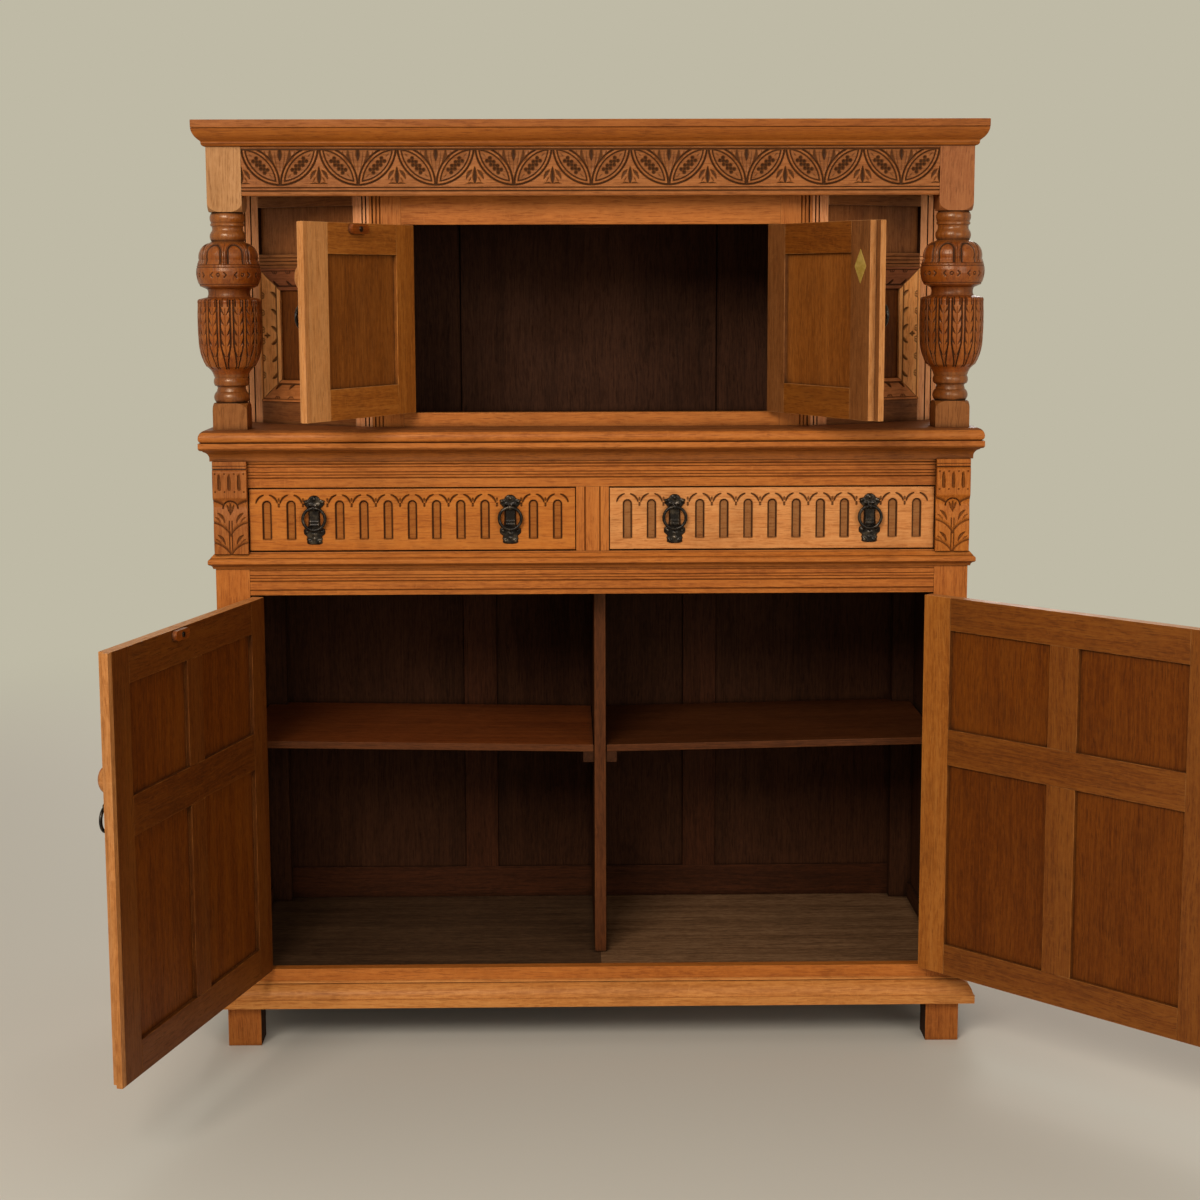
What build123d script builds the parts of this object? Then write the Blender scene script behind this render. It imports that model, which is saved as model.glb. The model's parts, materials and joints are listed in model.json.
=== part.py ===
from build123d import *

import os
from dataclasses import dataclass
from math import atan2, cos, hypot, radians, sin, tan

# Court cupboard in millimetres. X runs to the right, Y to the back, Z up.
# The origin is on the floor, in the middle of the carcase's footprint. The doors stand open at rest.

os.makedirs("parts", exist_ok=True)

# ---------------------------------------------------------------- driving dimensions
# Lower carcase
case_width = 1332.0
case_depth = 512.0
post = 60.0
rear_post_depth = 45.0
board = 22.0
panel = 7.0
panel_setback = 8.0
tongue = 8.0
tongue_slack = 1.0
side_inset = 2.0

# Heights from the floor up
foot_height = 77.0
sill_height = 67.0
door_opening = 685.0
waist_rail_height = 77.0
drawer_opening = 114.0
top_rail_height = 47.0
middle_moulding_height = 32.0
middle_top_thickness = 23.0
nose_over = 14.0
nose_under = 8.0
foot_block = 46.0
turning_height = 330.0
head_block = 111.0
foot_shoulder = 12.0
head_shoulder = 15.0
shoulder_reach = 32.0
cornice_height = 44.0

# Overhangs of the mouldings beyond the posts
base_overhang = 25.0
waist_overhang = 12.0
middle_overhang = 22.0
cornice_overhang = 22.0
waist_moulding_height = 26.0
waist_moulding_drop = 3.0

# Interior of the lower carcase
floor_drop = 6.0
floor_thickness = 12.0
dust_board = 8.0
dust_board_rise = 43.0
partition_thickness = 22.0
partition_shift = 14.0
partition_setback = 107.0
shelf_thickness = 13.0
shelf_height = 392.0
shelf_sag = 11.0
shelf_setback = 112.0
shelf_end_gap = 1.0
batten = 20.0
back_thickness = 20.0
back_muntin_width = 65.0
back_muntin_share = 0.165
back_rail_height = 123.0
lower_side_rail = 90.0
divider_width = 58.0
runner_ledge = 18.0
guide_height = 28.0

# Upper stage
upper_inset = 2.0
upper_setback = 60.0
upper_opening_width = 668.0
upper_door_height = 330.0
upper_bottom_rail = 25.0
front_stile = 56.0
cant_depth = 157.0
upper_side_reveal = 24.0
wall = 22.0
cant_front_stile = 36.0
cant_rear_stile = 44.0
cant_bottom_rail = 40.0
carved_frame_height = 240.0
carved_member = 39.0
carved_proud = 3.0
carved_inner_depth = 9.0
carved_back_depth = 14.0
reeded_rail_height = 25.0
plain_panel_height = 84.0
upper_back_thickness = 12.0
upper_back_share = 0.83
frieze_height = 84.0
frieze_recess = 1.0
top_board_thickness = 18.0
stop_width = 64.0
stop_depth = 18.0
stop_height = 26.0
stop_drop = 5.0

# Doors
door_thickness = 22.0
edge_gap = 1.0
head_gap = 1.5
meeting_gap = 1.5
lap = 12.0
lap_gap = 0.5
front_lip = 11.0
lower_stile = 58.0
lower_top_rail = 58.0
lower_middle_rail = 64.0
lower_bottom_rail = 55.0
lower_upper_panel = 177.0
upper_stile = 57.0
upper_rail = 52.0
left_lower_angle = 104.7
right_lower_angle = 132.0
left_upper_angle = 118.0
right_upper_angle = 115.5

# Hinges
hinge_proud = 3.4
knuckle_radius = 3.0
pin_radius = 1.5
pin_clearance = 0.05
leaf_depth = 18.0
leaf_gap = 0.1
knuckle_gap = 0.3
knuckle_share = 0.4
lower_leaf = 50.0
upper_leaf = 40.0
lower_hinge_inset = 95.0
upper_hinge_inset = 55.0

# Handles, the same on doors and drawers
plate_thickness = 2.5
plate_height = 87.0
ring_radius = 19.5
ring_wire = 2.75
ring_standoff = 9.5
ring_hole = 3.4
lug_wall = 2.2
lug_width = 5.0
pivot_rise = 22.0
handle_edge = 27.0
lower_ring_height = 562.0
upper_ring_height = 1321.0
boss_half_width = 14.5
boss_edge = 16.0
boss_half_height = 22.0
boss_gap = 1.5

# Turn-buttons and the brass plate
button_length = 52.0
button_width = 17.0
button_thickness = 8.0
button_drop = 10.0
button_gap = 0.3
screw_shank = 2.0
screw_head = 4.5
screw_head_height = 1.6
lower_button_along = 359.0
upper_button_along = 181.0
lozenge_half_width = 17.0
lozenge_half_height = 28.0
lozenge_thickness = 1.2
lozenge_height = 1401.0
lozenge_along = 298.0

# Drawers
drawer_front = 20.0
drawer_gap = 1.0
drawer_head_gap = 2.0
drawer_back_gap = 32.0
drawer_side = 10.0
drawer_side_height = 92.0
drawer_bottom = 6.0
drawer_bottom_rise = 8.0
drawer_bottom_tongue = 5.0
slide_gap = 0.3
drawer_handle_spacing = 345.0
drawer_handle_rise = 54.5

# ---------------------------------------------------------------- derived places
half_width = case_width / 2
front = -case_depth / 2
back = case_depth / 2
inside = half_width - post
sill_top = foot_height + sill_height
rail_bottom = sill_top + door_opening
drawer_bottom_z = rail_bottom + waist_rail_height
drawer_top_z = drawer_bottom_z + drawer_opening
carcase_top = drawer_top_z + top_rail_height + middle_moulding_height
middle_moulding_z = carcase_top - middle_moulding_height
middle_top_z = carcase_top + middle_top_thickness
turning_z = middle_top_z + foot_block
head_z = turning_z + turning_height
cornice_z = head_z + head_block
overall_height = cornice_z + cornice_height
waist_moulding_top = drawer_bottom_z - waist_moulding_drop
waist_moulding_z = waist_moulding_top - waist_moulding_height
floor_z = sill_top - floor_drop
dust_z = rail_bottom + dust_board_rise
back_face = back - back_thickness
drawer_depth = back_face - drawer_back_gap - front - drawer_front
side_face = half_width - side_inset - board
upper_half = half_width - upper_inset
upper_front = front + upper_inset
upper_side_x = upper_half - upper_side_reveal
block_centre = upper_half - post / 2
frieze_z = cornice_z - frieze_height
top_board_z = overall_height - top_board_thickness
cupboard_front = front + upper_setback
opening_half = upper_opening_width / 2
corner_x = opening_half + front_stile
opening_z = middle_top_z + upper_bottom_rail
opening_top = opening_z + upper_door_height
panel_span = (panel_setback, panel_setback + panel)


# ---------------------------------------------------------------- helpers
def save(name, *pieces):
    """Writes one node: one piece, or a set of separate pieces under one name."""
    node = pieces[0] if len(pieces) == 1 else Compound(children=list(pieces))
    node.label = name
    export_step(node, f"parts/{name}.step")


def plank(x, y, z, frame=Plane.XY, grooves=()):
    """A rectangular member between two limits on each axis of frame, less its grooves."""
    with BuildPart(frame) as piece:
        with Locations([Vector(sum(x) / 2, sum(y) / 2, sum(z) / 2)]):
            Box(abs(x[1] - x[0]), abs(y[1] - y[0]), abs(z[1] - z[0]))
        for gx, gy, gz in grooves:
            with Locations([Vector(sum(gx) / 2, sum(gy) / 2, sum(gz) / 2)]):
                Box(abs(gx[1] - gx[0]), abs(gy[1] - gy[0]), abs(gz[1] - gz[0]), mode=Mode.SUBTRACT)
    return piece.part


def widen(limits, amount):
    """Limits moved apart by amount at each end, whichever of the two is the lower."""
    low, high = sorted(limits)
    return low - amount, high + amount


def mirrored(limits, side):
    """Limits on the right-hand side of the centre line, carried to the side asked for."""
    return side * limits[0], side * limits[1]


def trace(outline, sign=1):
    """Draws a closed outline. A point of four values is reached by an arc through the last two."""
    for here, there in zip(outline, outline[1:] + outline[:1]):
        start = (sign * here[0], here[1])
        end = (sign * there[0], there[1])
        if len(there) == 4:
            ThreePointArc(start, (sign * there[2], there[3]), end)
        else:
            Line(start, end)


def upright(outline, bottom, top, side=1):
    """A piece with one plan outline, drawn for the right-hand side, from bottom to top."""
    with BuildPart() as piece:
        with BuildSketch(Plane.XY.offset(bottom)):
            with BuildLine():
                trace([(side * p[0], p[1]) for p in outline])
            make_face()
        extrude(amount=top - bottom)
    return piece.part


def mitred_bar(base, length, section, overrun=0.0, mitres=(True, True), sign=1):
    """A bar along base's X. The section lies in base's YZ, and each end is mitred or cut square."""
    start = overrun if mitres[0] else 0.0
    end = overrun if mitres[1] else 0.0
    origin = base.origin - base.x_dir * start
    with BuildPart() as bar:
        with BuildSketch(Plane(origin=origin, x_dir=base.y_dir, z_dir=base.x_dir)):
            with BuildLine():
                trace(section, sign)
            make_face()
        extrude(amount=length + start + end)
        if mitres[0]:
            split(bisect_by=Plane(origin=base.origin, z_dir=base.x_dir - base.y_dir), keep=Keep.TOP)
        if mitres[1]:
            far = base.origin + base.x_dir * length
            split(bisect_by=Plane(origin=far, z_dir=-(base.x_dir + base.y_dir)), keep=Keep.TOP)
    return bar.part


def moulding(name, section, reach, half, front_y):
    """A moulding round the front and both sides. The section's first value is its projection."""
    left = Plane(origin=(-half, back, 0), x_dir=(0, -1, 0), z_dir=(0, 0, 1))
    middle = Plane(origin=(-half, front_y, 0), x_dir=(1, 0, 0), z_dir=(0, 0, 1))
    right = Plane(origin=(half, front_y, 0), x_dir=(0, 1, 0), z_dir=(0, 0, 1))
    depth = back - front_y
    save(
        name,
        mitred_bar(left, depth, section, reach, (False, True), -1),
        mitred_bar(middle, 2 * half, section, reach, (True, True), -1),
        mitred_bar(right, depth, section, reach, (True, False), -1),
    )


# ---------------------------------------------------------------- lower carcase
side_panel_x = (half_width - side_inset - panel_span[1], half_width - side_inset - panel_span[0])
side_panel_y = (front + post - tongue, back - rear_post_depth + tongue)
side_bays = [
    (foot_height + lower_side_rail, rail_bottom),
    (drawer_bottom_z, drawer_top_z),
]


def side_grooves(side):
    """Grooves for the side panels of one side."""
    return [
        (mirrored(side_panel_x, side), widen(side_panel_y, 0), widen(bay, tongue))
        for bay in side_bays
    ]


back_panel_y = (back - panel_span[1], back - panel_span[0])
muntin_in = case_width * back_muntin_share - back_muntin_width / 2
muntin_out = muntin_in + back_muntin_width
back_low = foot_height + back_rail_height
back_bays = [
    ((-inside, -muntin_out), (back_low, rail_bottom)),
    ((-muntin_in, muntin_in), (back_low, rail_bottom)),
    ((muntin_out, inside), (back_low, rail_bottom)),
    ((-inside, inside), (drawer_bottom_z, drawer_top_z)),
]
back_grooves = [(widen(x, tongue), back_panel_y, widen(z, tongue)) for x, z in back_bays]


def make_posts():
    """Four posts that run to the floor as feet, grooved for the side and back panels."""
    pieces = []
    for side in (-1, 1):
        x = mirrored((inside, half_width), side)
        cuts = side_grooves(side)
        pieces.append(plank(x, (front, front + post), (0, carcase_top), grooves=cuts))
        y = (back - rear_post_depth, back)
        pieces.append(plank(x, y, (0, carcase_top), grooves=cuts + back_grooves))
    save("posts", *pieces)


def make_front_rails():
    """Sill, waist rail and drawer top rail between the front posts."""
    y = (front, front + board)
    save(
        "front_rails",
        plank((-inside, inside), y, (foot_height, sill_top)),
        plank((-inside, inside), y, (rail_bottom, drawer_bottom_z)),
        plank((-inside, inside), y, (drawer_top_z, carcase_top)),
    )


def make_sides():
    """Rails and panels of both sides."""
    rails = []
    panels = []
    levels = [
        (foot_height, foot_height + lower_side_rail),
        (rail_bottom, drawer_bottom_z),
        (drawer_top_z, carcase_top),
    ]
    for side in (-1, 1):
        x = mirrored((side_face, half_width - side_inset), side)
        y = (front + post, back - rear_post_depth)
        rails += [plank(x, y, z, grooves=side_grooves(side)) for z in levels]
        for bay in side_bays:
            y = widen(side_panel_y, -tongue_slack)
            panels.append(plank(mirrored(side_panel_x, side), y, widen(bay, tongue - tongue_slack)))
    save("side_rails", *rails)
    save("side_panels", *panels)


def make_back():
    """Framed back: three rails, two muntins and their panels."""
    y = (back_face, back)
    levels = [
        (foot_height, back_low),
        (rail_bottom, drawer_bottom_z),
        (drawer_top_z, carcase_top),
    ]
    members = [plank((-inside, inside), y, z, grooves=back_grooves) for z in levels]
    for x in ((-muntin_out, -muntin_in), (muntin_in, muntin_out)):
        members.append(plank(x, y, (back_low, rail_bottom), grooves=back_grooves))
    save("back_frame", *members)
    reach = tongue - tongue_slack
    save(
        "back_panels",
        *[plank(widen(x, reach), back_panel_y, widen(z, reach)) for x, z in back_bays],
    )


def deck(low, high):
    """A board that fills the carcase between two heights, notched round the posts."""
    with BuildPart() as piece:
        with BuildSketch(Plane.XY.offset(low)):
            with Locations([(0, (front + board + back_face) / 2)]):
                Rectangle(2 * inside, back_face - front - board)
            with Locations([(0, (front + post + back - rear_post_depth) / 2)]):
                Rectangle(2 * side_face, case_depth - post - rear_post_depth)
        extrude(amount=high - low)
    return piece.part


partition_x = (partition_shift - partition_thickness / 2, partition_shift + partition_thickness / 2)
shelf_z = floor_z + shelf_height


def make_shelves():
    """Two shelves that sag towards the partition, each a board with a sloping section."""
    pieces = []
    for outer, inner in ((-side_face, partition_x[0]), (side_face, partition_x[1])):
        step = shelf_end_gap if outer < 0 else -shelf_end_gap
        x_out = outer + step
        x_in = inner - step
        outline = [
            (x_out, shelf_z),
            (x_in, shelf_z - shelf_sag),
            (x_in, shelf_z - shelf_sag + shelf_thickness),
            (x_out, shelf_z + shelf_thickness),
        ]
        shelf_front = front + shelf_setback
        with BuildPart() as shelf:
            with BuildSketch(Plane(origin=(0, back_face, 0), x_dir=(1, 0, 0), z_dir=(0, -1, 0))):
                with BuildLine():
                    trace(outline)
                make_face()
            extrude(amount=back_face - shelf_front)
            notch = inside if outer > 0 else -inside
            with Locations([Vector((notch + outer) / 2, (back_face + back - rear_post_depth) / 2, shelf_z)]):
                Box(side_face - inside, back_face - back + rear_post_depth, 4 * shelf_thickness, mode=Mode.SUBTRACT)
        pieces.append(shelf.part)
    save("shelves", *pieces)


def make_battens():
    """Bearers under the shelves and the floor, and the stop behind the upper rail."""
    pieces = []
    shelf_y = (front + shelf_setback + shelf_end_gap, back_face)
    low = shelf_z - shelf_sag
    slope = shelf_sag / (side_face - partition_x[1])
    for side, inner in ((-1, partition_x[0]), (1, partition_x[1])):
        wall_x = mirrored((side_face - batten, side_face), side)
        wall_top = shelf_z - slope * batten
        wall_y = (front + post, back - rear_post_depth)
        pieces.append(plank(wall_x, wall_y, (wall_top - batten, wall_top)))
        inner_x = (inner, inner + side * batten)
        pieces.append(plank(inner_x, shelf_y, (low - batten, low)))
    floor_under = floor_z - floor_thickness
    for y in ((front + board, front + board + batten), (back_face - batten, back_face)):
        pieces.append(plank((-inside, inside), y, (floor_under - batten, floor_under)))
    stop_y = (cupboard_front + wall, cupboard_front + wall + stop_depth)
    stop_z = (opening_top - stop_drop, opening_top - stop_drop + stop_height)
    pieces.append(plank((-stop_width / 2, stop_width / 2), stop_y, stop_z))
    save("battens", *pieces)


def make_drawer_supports():
    """Divider between the drawers, and runners with their guides on the dust board."""
    half = divider_width / 2
    y = (front, front + board)
    save("drawer_divider", plank((-half, half), y, (drawer_bottom_z, drawer_top_z)))
    runner_top = drawer_bottom_z
    dust_top = dust_z + dust_board
    y_run = (front + board, back_face)
    pieces = []
    for side in (-1, 1):
        ledge = mirrored((inside - runner_ledge, inside), side)
        guide = mirrored((inside, side_face), side)
        y_guide = (front + post, back - rear_post_depth)
        with BuildPart() as runner:
            for x, y, top in ((ledge, y_run, runner_top), (guide, y_guide, runner_top + guide_height)):
                with Locations([Vector(sum(x) / 2, sum(y) / 2, (dust_top + top) / 2)]):
                    Box(abs(x[1] - x[0]), y[1] - y[0], top - dust_top)
        pieces.append(runner.part)
    with BuildPart() as middle:
        for width, top in (
            (divider_width + 2 * runner_ledge, runner_top),
            (divider_width - 2 * drawer_gap, runner_top + guide_height),
        ):
            with Locations([Vector(0, sum(y_run) / 2, (dust_top + top) / 2)]):
                Box(width, y_run[1] - y_run[0], top - dust_top)
    pieces.append(middle.part)
    save("drawer_runners", *pieces)


def make_middle_top():
    """Board over the lower stage with a thumb-nosed edge at the front and sides."""
    half = half_width + middle_overhang
    with BuildPart() as top:
        with BuildSketch(Plane.XY.offset(carcase_top)):
            with Locations([(0, (front - middle_overhang + back) / 2)]):
                Rectangle(2 * half, case_depth + middle_overhang)
        extrude(amount=middle_top_thickness)
        rim = top.edges().filter_by(Plane.XY).group_by(Axis.Z)
        fillet(rim[-1].sort_by(Axis.Y)[:-1], radius=nose_over)
        rim = top.edges().filter_by(Plane.XY).group_by(Axis.Z)
        fillet(rim[0].sort_by(Axis.Y)[:-1], radius=nose_under)
    save("middle_top", top.part)


def make_corbels():
    """Carved brackets on the posts beside the drawers: a proud block over an S-shaped leaf."""
    low = waist_moulding_top
    high = middle_moulding_z
    pieces = []
    for side in (-1, 1):
        with BuildPart() as corbel:
            with BuildSketch(Plane.YZ.offset(side * (half_width + inside) / 2 - post / 2)):
                with BuildLine():
                    trace(
                        [
                            (front, low),
                            (front - 8, low),
                            (front - 6, low + 84, front - 11, low + 42),
                            (front - 13, low + 99, front - 8, low + 94),
                            (front - 14, low + 101),
                            (front - 14, high - 18),
                            (front - 12, high - 15),
                            (front - 12, high),
                            (front, high),
                        ]
                    )
                make_face()
            extrude(amount=post)
        pieces.append(corbel.part)
    save("corbels", *pieces)


def make_lower_mouldings():
    """Base, waist and middle mouldings."""
    out = base_overhang
    low = foot_height
    base = [
        (0, low),
        (out, low),
        (out, low + 15),
        (out - 3, low + 16),
        (3, low + 40, out - 9, low + 32),
        (4, low + 43, 4.5, low + 41.5),
        (0, low + 45),
    ]
    moulding("base_moulding", base, out, half_width, front)
    out = waist_overhang
    low = waist_moulding_z
    waist = [
        (0, low),
        (4, low),
        (out - 2, low + 7, 6, low + 5),
        (out, low + 9),
        (out, low + 15),
        (2, low + 26),
        (0, low + 26),
    ]
    moulding("waist_moulding", waist, out, half_width, front)
    out = middle_overhang
    low = middle_moulding_z
    middle = [
        (0, low),
        (5, low),
        (5, low + 5),
        (out - 8, low + 17, 8, low + 13),
        (out - 6, low + 19),
        (out, low + 26, out - 1, low + 21),
        (out, low + 32),
        (0, low + 32),
    ]
    moulding("middle_moulding", middle, out, half_width, front)


# ---------------------------------------------------------------- upper stage
def squared_block(centre, square_end, round_end, shoulder):
    """A square block whose corners are turned off in a round shoulder at one end."""
    reach = hypot(post / 2, post / 2)
    step = shoulder if square_end < round_end else -shoulder
    bend = (round_end - step * 0.45, reach - (reach - shoulder_reach) * 0.3)
    with BuildPart() as block:
        with BuildSketch(Plane(origin=centre, x_dir=(1, 0, 0), z_dir=(0, -1, 0))):
            with BuildLine():
                trace(
                    [
                        (0, square_end),
                        (reach, square_end),
                        (reach, round_end - step),
                        (shoulder_reach, round_end, bend[1], bend[0]),
                        (0, round_end),
                    ]
                )
            make_face()
        revolve(axis=Axis(origin=centre, direction=(0, 0, 1)))
        with Locations([centre + Vector(0, 0, (square_end + round_end) / 2)]):
            Box(post, post, abs(round_end - square_end), mode=Mode.INTERSECT)
    return block.part


def make_turned_posts():
    """Cup-and-cover posts: square foot and head blocks with one turning between them."""
    z0 = turning_z
    h = turning_height
    pieces = []
    for side in (-1, 1):
        centre = Vector(side * block_centre, upper_front + post / 2, 0)
        foot = squared_block(centre, middle_top_z, turning_z, foot_shoulder)
        head = squared_block(centre, top_board_z, head_z, head_shoulder)
        with BuildPart() as turned:
            with BuildSketch(Plane(origin=centre, x_dir=(1, 0, 0), z_dir=(0, -1, 0))):
                with BuildLine():
                    trace(
                        [
                            (0, z0),
                            (26, z0),
                            (26, z0 + 20, 31, z0 + 10),
                            (25, z0 + 24),
                            (29, z0 + 30, 25, z0 + 28),
                            (29, z0 + 44, 31, z0 + 37),
                            (30, z0 + 46),
                            (43, z0 + 64, 33, z0 + 54),
                            (55, z0 + 105, 51.5, z0 + 84),
                            (55, z0 + 174, 56, z0 + 140),
                            (51, z0 + 181, 54.5, z0 + 179),
                            (38, z0 + 184),
                            (38, z0 + 198, 36, z0 + 191),
                            (50, z0 + 203),
                            (51, z0 + 248, 56, z0 + 228),
                            (31, z0 + 278, 46, z0 + 269),
                            (28, z0 + 280),
                            (28, z0 + 297, 31, z0 + 288.5),
                            (28, z0 + h - 23, 26.5, z0 + h - 28),
                            (29.5, z0 + h - 23),
                            (29.5, z0 + h - 20),
                            (28, z0 + h - 18),
                            (28, z0 + h - 2, 30.5, z0 + h - 10),
                            (26, z0 + h),
                            (0, z0 + h),
                        ]
                    )
                make_face()
            revolve(axis=Axis(origin=centre, direction=(0, 0, 1)))
            add(foot)
            add(head)
        pieces.append(turned.part)
    save("turned_posts", *pieces)


def make_frieze_and_cornice():
    """Frieze rails at the front and sides, the cornice round them and the board on top."""
    inner = upper_half - post
    y = (upper_front + frieze_recess, upper_front + frieze_recess + board)
    rails = [plank((-inner, inner), y, (frieze_z, top_board_z))]
    for side in (-1, 1):
        x = mirrored((upper_side_x, upper_half), side)
        rails.append(plank(x, (upper_front + post, back), (frieze_z, top_board_z)))
    save("frieze_rails", *rails)
    out = cornice_overhang
    low = cornice_z
    cornice = [
        (0, low),
        (3, low),
        (7, low + 7, 6.5, low + 3),
        (8, low + 9),
        (out, low + 34, out - 4, low + 19),
        (out, low + 44),
        (0, low + 44),
    ]
    moulding("cornice", cornice, out, upper_half, upper_front)
    top = plank((-upper_half, upper_half), (upper_front, back), (top_board_z, overall_height))
    save("top_board", top)


cant_run = upper_side_x - corner_x
cant_length = hypot(cant_run, cant_depth)
cant_turn = atan2(cant_depth, cant_run)
front_mitre = wall * tan(cant_turn / 2)
rear_mitre = wall * tan((radians(90) - cant_turn) / 2)
cant_bay = (cant_front_stile, cant_length - cant_rear_stile)
carved_z = (middle_top_z + cant_bottom_rail, middle_top_z + cant_bottom_rail + carved_frame_height)
reeded_z = (carved_z[1], carved_z[1] + reeded_rail_height)
plain_z = (reeded_z[1], reeded_z[1] + plain_panel_height)


def cant_plane(side):
    """Plane of a canted front: origin at its front corner, X along it, Z up."""
    run = Vector(side * cant_run, cant_depth, 0)
    return Plane(origin=(side * corner_x, cupboard_front, 0), x_dir=run, z_dir=(0, 0, 1))


def cant_point(u, depth):
    """A plan point of the right-hand canted front, u along it and depth behind its face."""
    return (
        corner_x + u * cos(cant_turn) - depth * sin(cant_turn),
        cupboard_front + u * sin(cant_turn) + depth * cos(cant_turn),
    )


def make_upper_front():
    """Front frame of the upper cupboard: two stiles and two rails round the door opening."""
    y = (cupboard_front, cupboard_front + wall)
    members = [
        plank((-opening_half, opening_half), y, (middle_top_z, opening_z)),
        plank((-opening_half, opening_half), y, (opening_top, top_board_z)),
    ]
    outline = [
        (opening_half, y[0]),
        (corner_x, y[0]),
        (corner_x - front_mitre, y[1]),
        (opening_half, y[1]),
    ]
    members += [upright(outline, middle_top_z, top_board_z, side) for side in (-1, 1)]
    save("upper_front_frame", *members)


def make_canted_fronts():
    """Canted corners of the upper cupboard: frame, plain and sunk panels, carved mitred frame."""
    frames = []
    panels = []
    carved = []
    length = cant_length
    front_outline = [
        cant_point(0, 0),
        cant_point(cant_front_stile, 0),
        cant_point(cant_front_stile, wall),
        cant_point(front_mitre, wall),
    ]
    rear_outline = [
        cant_point(length - cant_rear_stile, 0),
        cant_point(length, 0),
        cant_point(length - rear_mitre, wall),
        cant_point(length - cant_rear_stile, wall),
    ]
    section = [
        (0, carved_proud),
        (carved_member, -carved_inner_depth),
        (carved_member, -carved_back_depth),
        (0, -carved_back_depth),
    ]
    for side in (-1, 1):
        plane = cant_plane(side)
        for outline in (front_outline, rear_outline):
            frames.append(upright(outline, middle_top_z, top_board_z, side))
        y = mirrored((0, wall), side)
        plain_y = mirrored(panel_span, side)
        groove = (widen(cant_bay, 0), plain_y, widen(plain_z, tongue))
        for z in ((middle_top_z, carved_z[0]), reeded_z, (plain_z[1], top_board_z)):
            frames.append(plank(cant_bay, y, z, plane, [groove]))
        panels.append(plank(cant_bay, plain_y, widen(plain_z, tongue - tongue_slack), plane))
        sunk_y = mirrored((carved_back_depth, carved_back_depth + panel), side)
        panels.append(plank(cant_bay, sunk_y, carved_z, plane))
        outward = plane.y_dir * -side
        across = Vector(0, 0, 1).cross(outward)
        centre = plane.origin + plane.x_dir * (sum(cant_bay) / 2) + Vector(0, 0, sum(carved_z) / 2)
        wide = cant_bay[1] - cant_bay[0]
        tall = carved_z[1] - carved_z[0]
        up = Vector(0, 0, 1)
        for along, run, rise in ((across, wide, tall), (up, tall, wide), (-across, wide, tall), (-up, tall, wide)):
            inward = outward.cross(along)
            corner = centre - along * (run / 2) - inward * (rise / 2)
            bar = Plane(origin=corner, x_dir=along, z_dir=outward)
            carved.append(mitred_bar(bar, run, section))
    save("canted_frames", *frames)
    save("canted_panels", *panels)
    save("carved_frames", *carved)


def make_upper_walls():
    """Side boards and back boards of the upper cupboard."""
    rear = cupboard_front + cant_depth
    outline = [
        (upper_side_x, rear),
        (upper_side_x, back),
        (upper_side_x - wall, back),
        (upper_side_x - wall, rear + rear_mitre),
    ]
    sides = [upright(outline, middle_top_z, top_board_z, side) for side in (-1, 1)]
    save("upper_sides", *sides)
    limit = upper_side_x - wall
    joint = limit * upper_back_share / 2
    y = (back - upper_back_thickness, back)
    save(
        "upper_back",
        *[
            plank(x, y, (middle_top_z, top_board_z))
            for x in (
                (-limit, -joint),
                (-joint, joint),
                (joint, limit),
            )
        ],
    )


# ---------------------------------------------------------------- doors
@dataclass
class Door:
    """One door: its place, its opening angle at rest and the sizes that differ between doors."""

    name: str
    side: int
    hinge_x: float
    front_y: float
    low: float
    high: float
    angle: float
    stile: float
    top_rail: float
    bottom_rail: float
    leaf: float
    hinge_inset: float
    ring_height: float

    def plane(self, angle):
        """Door's own plane at an opening angle: origin on the hinge axis, X along the door."""
        turn = radians(angle)
        along = (-self.side * cos(turn), -sin(turn), 0)
        origin = (self.side * self.hinge_x, self.front_y - hinge_proud, 0)
        return Plane(origin=origin, x_dir=along, z_dir=(0, 0, 1))

    def depth(self, near, far):
        """Limits in the plane's Y for depths measured from the door's front face."""
        return -self.side * (hinge_proud + near), -self.side * (hinge_proud + far)

    @property
    def end(self):
        """Distance from the hinge axis to the meeting edge of the full thickness."""
        return self.hinge_x - lap / 2 - meeting_gap

    @property
    def lip_end(self):
        """Distance from the hinge axis to the tip of the lip or strip past the meeting edge."""
        return self.hinge_x + lap / 2

    @property
    def handle_along(self):
        """Place of the handle, measured back from the edge that shows at the front."""
        return (self.end if self.side < 0 else self.lip_end) - handle_edge

    def face(self, u, z, depth):
        """A plane facing out of the door's front, at u along it, height z and a depth."""
        plane = self.plane(self.angle)
        inward = plane.y_dir * -self.side
        origin = plane.origin + plane.x_dir * u + inward * (hinge_proud + depth) + Vector(0, 0, z)
        return Plane(origin=origin, x_dir=Vector(0, 0, 1).cross(-inward), z_dir=-inward)


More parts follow.
